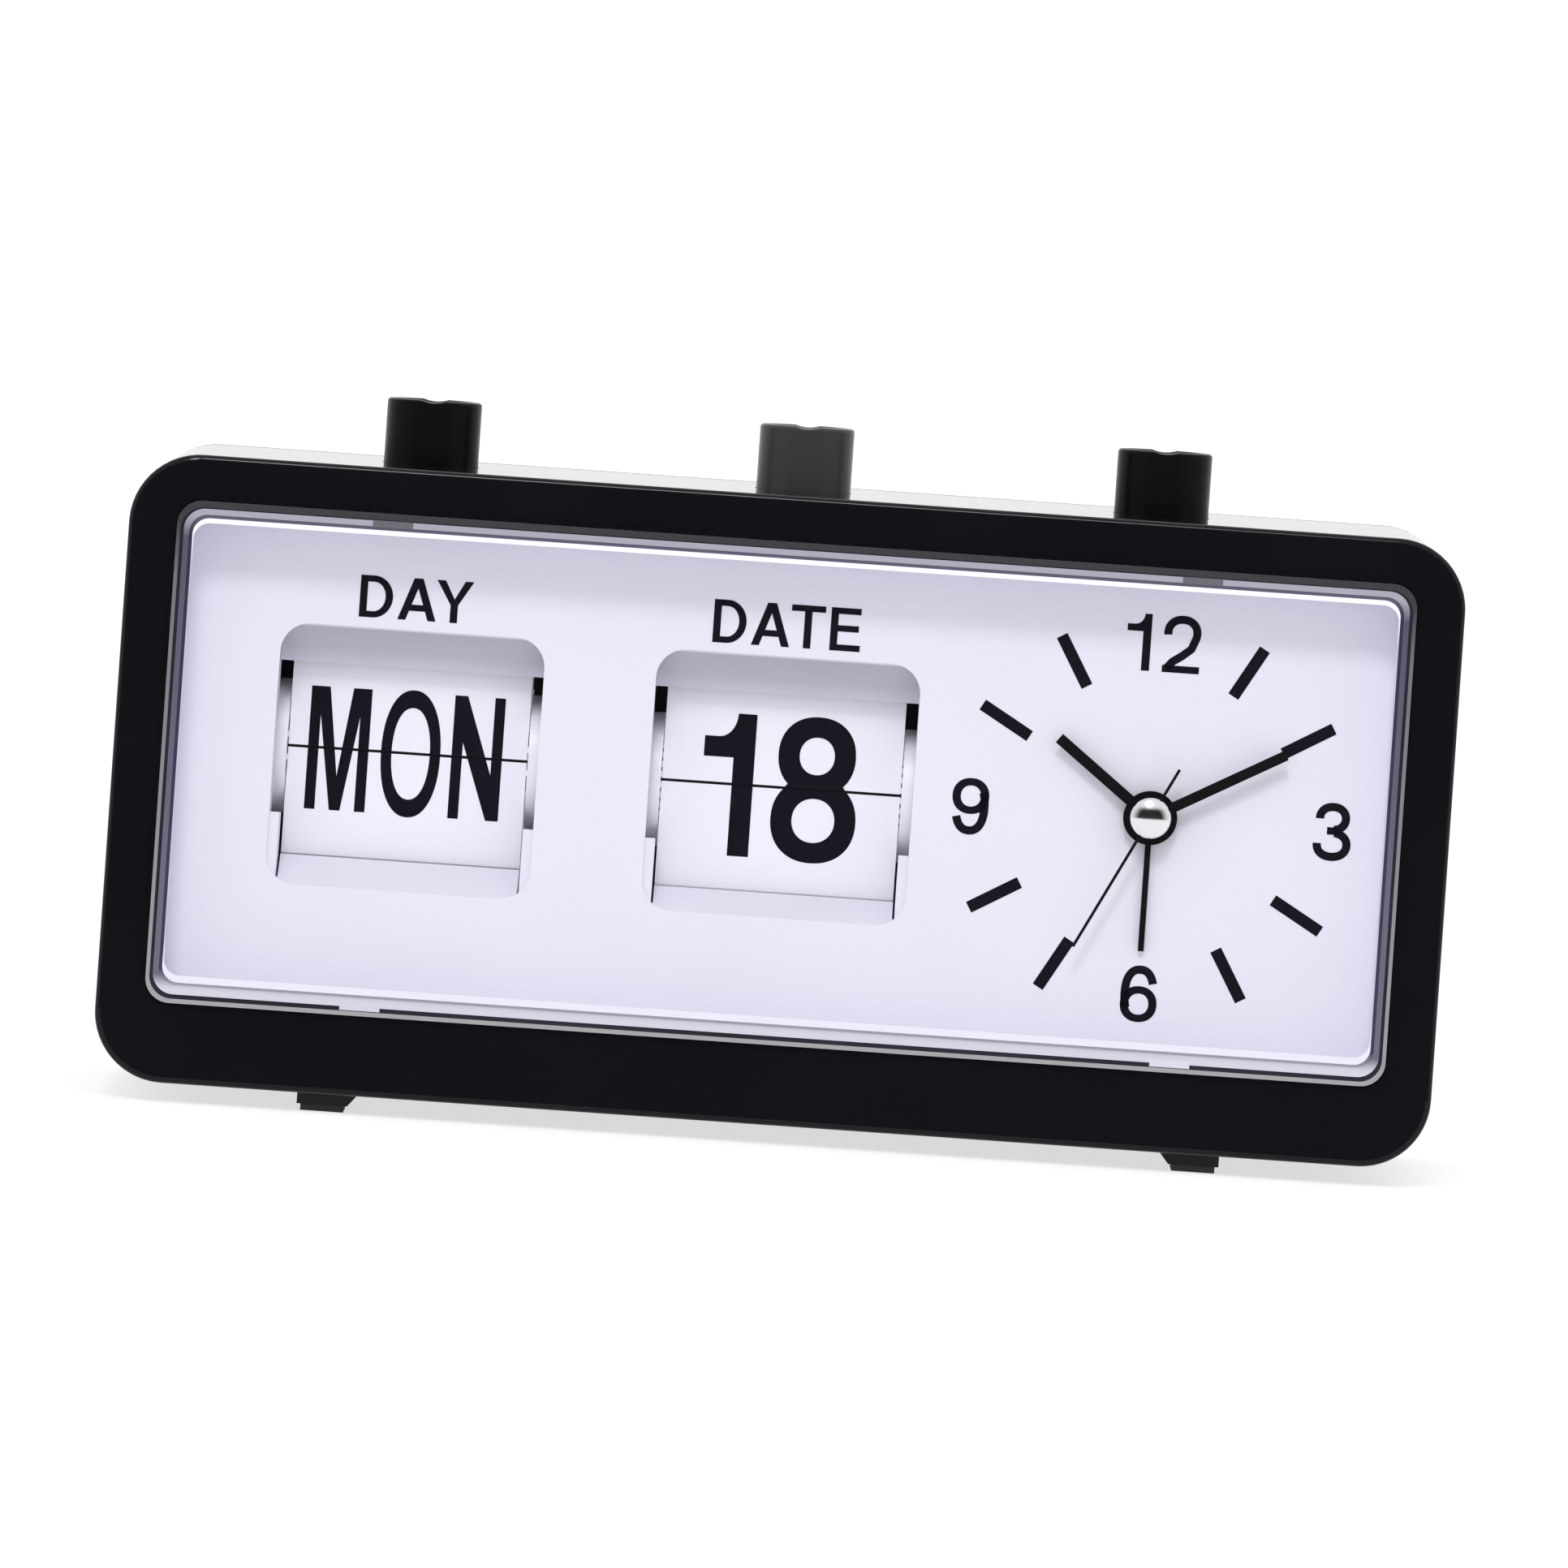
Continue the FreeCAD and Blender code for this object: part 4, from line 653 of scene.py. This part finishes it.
def figure_2(width, height, stem, bar):
    bowl_z = height * 0.70
    path = arc(width / 2, bowl_z, width / 2 - stem / 2, height - bowl_z - bar / 2, 188, -20, 2.15)
    path += [(width * 0.76, height * 0.43), (width * 0.52, height * 0.30), (width * 0.27, height * 0.19),
             (width * 0.12, height * 0.07)]
    return [[stroke(path, stem)], [[(0, 0), (width, 0), (width, bar), (0, bar)]]]


def figure_3(width, height, stem, bar):
    top_z = height * 0.735
    low_z = height * 0.275
    power = 2.15
    top = arc(width * 0.48, top_z, width * 0.46 - stem / 2, height - top_z - bar / 2, 183, -84, power)
    low = arc(width * 0.49, low_z, width * 0.51 - stem / 2, low_z - bar / 2, 84, -184, power)
    left = width * 0.34
    right = width * 0.56
    middle = height * 0.515
    return [[stroke(top, stem)], [stroke(low, stem)], [[(left, middle - bar / 2), (right, middle - bar / 2),
                                                        (right, middle + bar / 2), (left, middle + bar / 2)]]]


def figure_6(width, height, stem, bar):
    ring_z = height * 0.32
    power = 2.15
    ring = [oval(width / 2, ring_z, width / 2, ring_z, power),
            oval(width / 2, ring_z, width / 2 - stem, ring_z - bar, power)]
    back = arc(width / 2, height / 2, width / 2 - stem / 2, height / 2 - bar / 2, 212, 22, 2.35)
    return [ring, [stroke(back, stem)]]


def figure_9(width, height, stem, bar):
    turned = figure_6(width, height, stem, bar)
    return [[[(width - x, height - z) for x, z in outline] for outline in shape] for shape in turned]


GLYPHS = {"D": letter_d, "A": letter_a, "Y": letter_y, "T": letter_t, "E": letter_e, "M": letter_m,
          "O": letter_o, "N": letter_n, "1": figure_1, "2": figure_2, "3": figure_3, "6": figure_6,
          "8": figure_8, "9": figure_9}


def word(letters, left, low, high, stem, bar, widths, gaps=()):
    """Letters side by side from left on: their widths, and the gaps between them."""
    shapes = []
    x = left
    for number, letter in enumerate(letters):
        for outlines in GLYPHS[letter](widths[number], high - low, stem, bar):
            shapes.append([[(x + px, low + pz) for px, pz in outline] for outline in outlines])
        x += widths[number] + (gaps[number] if number < len(gaps) else 0)
    return shapes


def deepened(shapes, depth):
    """Spreads shapes measured on the face plane, so that they look as wide from the camera behind it."""
    scale = (CAMERA_DISTANCE + depth) / CAMERA_DISTANCE

    def moved(x, z):
        return AIM_X + (x - AIM_X) * scale, AIM_Z + (z - AIM_Z) * scale

    return [[[moved(x, z) for x, z in outline] for outline in shape] for shape in shapes]


# ---------------------------------------------------------------- dial
def print_on_dial(name, shapes):
    mesh = filled_mesh(name, deepened(shapes, DIAL_DEPTH), DIAL_DEPTH - INK, DIAL_DEPTH + INK)
    piece(name, mesh, "ink", "case")


def make_dial_words():
    words = word("DAY", left=-58.3, low=64.4, high=70.05, stem=PRINT_STEM, bar=PRINT_BAR,
                 widths=(4.45, 5.15, 4.95), gaps=(0.75, -0.1))
    words += word("DATE", left=-10.7, low=64.3, high=70.1, stem=PRINT_STEM, bar=PRINT_BAR,
                  widths=(4.45, 5.15, 4.6, 4.1), gaps=(0.75, 0.05, 0.75))
    print_on_dial("dial_words", words)


def make_dial_figures():
    figures = word("12", left=44.85, low=64.5, high=72.15, stem=1.1, bar=0.95,
                   widths=(3.25, 5.0), gaps=(1.7,))
    for figure, left, low, high, width in (("6", 47.3, 17.35, 24.9, 4.95), ("9", 22.95, 40.95, 48.5, 4.95),
                                           ("3", 71.75, 40.8, 48.5, 5.0)):
        figures += word(figure, left, low, high, FIGURE_STEM, FIGURE_BAR, (width,))
    print_on_dial("dial_figures", figures)


def make_dial_ticks():
    inner = 19.7
    outer = 27.3
    half = 0.8
    middle = Vector((clock_x, CLOCK_Z))
    shapes = []
    for hour in range(12):
        if hour % 3 == 0:
            continue
        angle = math.radians(30 * hour)
        out = Vector((math.sin(angle), math.cos(angle)))
        side = Vector((out.y, -out.x)) * half
        corners = [middle + out * inner + side, middle + out * outer + side, middle + out * outer - side,
                   middle + out * inner - side]
        shapes.append([[(corner.x, corner.y) for corner in corners]])
    print_on_dial("dial_ticks", shapes)


def make_leaf_words(name, shapes):
    """The printed word on a calendar's two front leaves, parted at the split between them."""
    plane = face_depth(name + "_leaf_flip")
    split = face_height(name + "_drum_step")
    front = plane - LEAF_HALF_THICK
    for part, body, above in (("upper", name + "_drum", True), ("lower", name + "_leaf_lower", False)):
        title = name + "_print_" + part
        mesh = filled_mesh(title, deepened(shapes, plane), front - INK, front + INK / 2)
        keep_side(mesh, split + SPLIT_GAP if above else split - SPLIT_GAP, above)
        piece(title, mesh, "ink", body)


# ---------------------------------------------------------------- lens and cap
def inset_outline(inset):
    """The opening's outline drawn in by different amounts at the sides, the top and the bottom."""
    sides, top, bottom = inset
    corner = max(LEAST_CORNER, OPENING_CORNER - sides * 0.5)
    return ring_outline(-OPENING_HALF + sides, OPENING_HALF - sides, OPENING_LOW + bottom, OPENING_HIGH - top,
                        corner)


def make_tabs(name, low, high, material):
    """The two locating notches in the border's lower or upper run, in a painted lit or shaded tone."""
    tabs = []
    for x in (-TAB_X, TAB_X):
        tabs.append([[(x - TAB_HALF, low), (x + TAB_HALF, low), (x + TAB_HALF, high), (x - TAB_HALF, high)]])
    piece(name, filled_mesh(name, tabs, LENS_FRONT, BORDER_BACK), material, "case")


def make_lens():
    """Clear pane in a skirt. Its stepped border is drawn as painted highlights and shade: light and dark lines
    that change round the dial.
    """
    edge = inset_outline(BORDER_EDGES[0])
    skirt_inner = inset_outline((LENS_GAP + BORDER_WIDTH,) * 3)
    glass = filled_mesh("lens_pane", [[skirt_inner]], LENS_FRONT + PANE_BEHIND, LENS_FRONT + PANE_THICK)
    pane = piece("lens_pane", glass, "lens_clear", "case")
    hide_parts("lens")
    skirt = filled_mesh("lens_skirt", [[edge, skirt_inner]], BORDER_BACK, DIAL_DEPTH)
    piece("lens_skirt", skirt, "skirt_light", "case")
    for number, (material, behind) in enumerate(BORDER_LINES):
        name = f"lens_line_{number + 1}"
        outlines = [inset_outline(BORDER_EDGES[number]), inset_outline(BORDER_EDGES[number + 1])]
        line = filled_mesh(name, [outlines], LENS_FRONT + behind, BORDER_BACK)
        piece(name, line, material, "case")
    # The lugs show through the notches, painted lit below and painted in shade above.
    low = OPENING_LOW + LOW_TAB_INSET
    make_tabs("lens_tabs_low", low, low + LOW_TAB_HEIGHT, "border_tab_painted_lit")
    high = OPENING_HIGH - HIGH_TAB_INSET
    make_tabs("lens_tabs_high", high - HIGH_TAB_HEIGHT, high, "border_notch_painted_shade")


def make_cap():
    """The chrome cap as a smooth dome."""
    low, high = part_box("hand_cap")
    middle = (Vector(low) + Vector(high)) / 2 - face_origin
    back = middle.dot(inward) / MM + CAP_HEIGHT / 2
    centre_x = middle.x / MM
    centre_z = middle.dot(upward) / MM
    bulge = CAP_HEIGHT - CAP_WALL
    sphere = (CAP_RADIUS ** 2 + bulge ** 2) / (2 * bulge)
    profile = [(CAP_RADIUS, 0)]
    for level in range(CAP_LEVELS):
        radius = CAP_RADIUS * (1 - level / CAP_LEVELS)
        profile.append((radius, math.sqrt(sphere ** 2 - radius ** 2) - sphere + CAP_HEIGHT))
    dome = bmesh.new()
    rings = []
    for radius, rise in profile:
        rings.append([dome.verts.new((centre_x + x, back - rise, centre_z + z))
                      for x, z in oval(0, 0, radius, radius)])
    top = dome.verts.new((centre_x, back - CAP_HEIGHT, centre_z))
    around = len(rings[0])
    for outer, inner in zip(rings, rings[1:]):
        for number in range(around):
            after = (number + 1) % around
            dome.faces.new((outer[number], outer[after], inner[after], inner[number]))
    for number in range(around):
        dome.faces.new((rings[-1][number], rings[-1][(number + 1) % around], top))
    dome.faces.new(rings[0][::-1])
    cap = piece("cap_dome", dome, "cap_chrome", CAP_BODY, smooth=True)
    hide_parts("hand_cap")


# ---------------------------------------------------------------- stage, light and camera
def make_floor():
    """A wide white floor that glows a little, so that shadows stay faint. Its size is in metres."""
    half = 30.0
    mesh = bpy.data.meshes.new("floor")
    corners = [(-half, -half, 0), (half, -half, 0), (half, half, 0), (-half, half, 0)]
    mesh.from_pydata(corners, [], [(0, 1, 2, 3)])
    floor = bpy.data.objects.new("floor", mesh)
    bpy.context.scene.collection.objects.link(floor)
    material, _, _, shader = new_material("floor_white")
    shader.inputs["Base Color"].default_value = (FLOOR_TONE, FLOOR_TONE, FLOOR_TONE, 1)
    shader.inputs["Emission Color"].default_value = (1, 1, 1, 1)
    shader.inputs["Emission Strength"].default_value = FLOOR_GLOW
    shader.inputs["Roughness"].default_value = 0.9
    shader.inputs["Specular IOR Level"].default_value = 0.1
    mesh.materials.append(material)


def make_world():
    """White all round, a little brighter behind the clock. Only reflections see the dark band in front."""
    world = bpy.data.worlds.new("studio")
    world.use_nodes = True
    nodes = world.node_tree.nodes
    links = world.node_tree.links
    heading = separated(nodes, links, nodes.new("ShaderNodeTexCoord").outputs["Generated"])
    low = map_range(nodes, links, heading["Z"], 0.44, 0.60, 1, 0)
    ahead = map_range(nodes, links, heading["Y"], -0.82, -0.60, 1, 0)
    band = maths(nodes, links, "MULTIPLY", low, ahead)
    reflection = nodes.new("ShaderNodeLightPath").outputs["Is Glossy Ray"]
    mirrored = maths(nodes, links, "MULTIPLY", band, reflection)
    shade = nodes.new("ShaderNodeMix")
    shade.data_type = "FLOAT"
    links.new(mirrored, shade.inputs["Factor"])
    links.new(map_range(nodes, links, heading["Y"], -0.5, 0.1, FRONT_LIGHT, BACK_LIGHT), shade.inputs["A"])
    shade.inputs["B"].default_value = BAND_LIGHT
    links.new(shade.outputs["Result"], nodes["Background"].inputs["Strength"])
    nodes["Background"].inputs["Color"].default_value = (1, 1, 1, 1)
    bpy.context.scene.world = world


def make_key_light():
    lamp = bpy.data.lights.new("key", "SUN")
    lamp.energy = 1.0
    lamp.angle = math.radians(14)
    key = bpy.data.objects.new("key", lamp)
    key.rotation_euler = (math.radians(46), 0, math.radians(-6))
    bpy.context.scene.collection.objects.link(key)


def make_camera():
    """Square on to the face from far off, turned a little about its line of sight."""
    data = bpy.data.cameras.new("camera")
    data.sensor_width = 36.0
    data.lens = CAMERA_LENS
    data.clip_end = 200.0
    camera = bpy.data.objects.new("camera", data)
    aim = on_face(AIM_X, 0, AIM_Z)
    place = aim - inward * CAMERA_DISTANCE * MM
    right = Vector((1, 0, 0))
    camera_right = right * math.cos(PICTURE_TURN) + upward * math.sin(PICTURE_TURN)
    camera_up = upward * math.cos(PICTURE_TURN) - right * math.sin(PICTURE_TURN)
    turn = Matrix((camera_right, camera_up, -inward)).transposed().to_4x4()
    camera.matrix_world = Matrix.Translation(place) @ turn
    bpy.context.scene.collection.objects.link(camera)
    bpy.context.scene.camera = camera


make_camera()
make_world()
make_key_light()
make_floor()
dress_nodes()
make_dial_words()
make_dial_figures()
make_dial_ticks()
make_leaf_words("day", word("MON", left=-63.85, low=38.2, high=54.75, stem=1.42, bar=2.4,
                            widths=(8.15, 7.98, 6.8), gaps=(1.67, 1.5)))
make_leaf_words("date", word("18", left=-10.75, low=35.8, high=54.95, stem=2.85, bar=2.75,
                             widths=(6.85, 11.45), gaps=(2.65,)))
make_lens()
make_cap()
bpy.context.scene.view_settings.view_transform = "Standard"
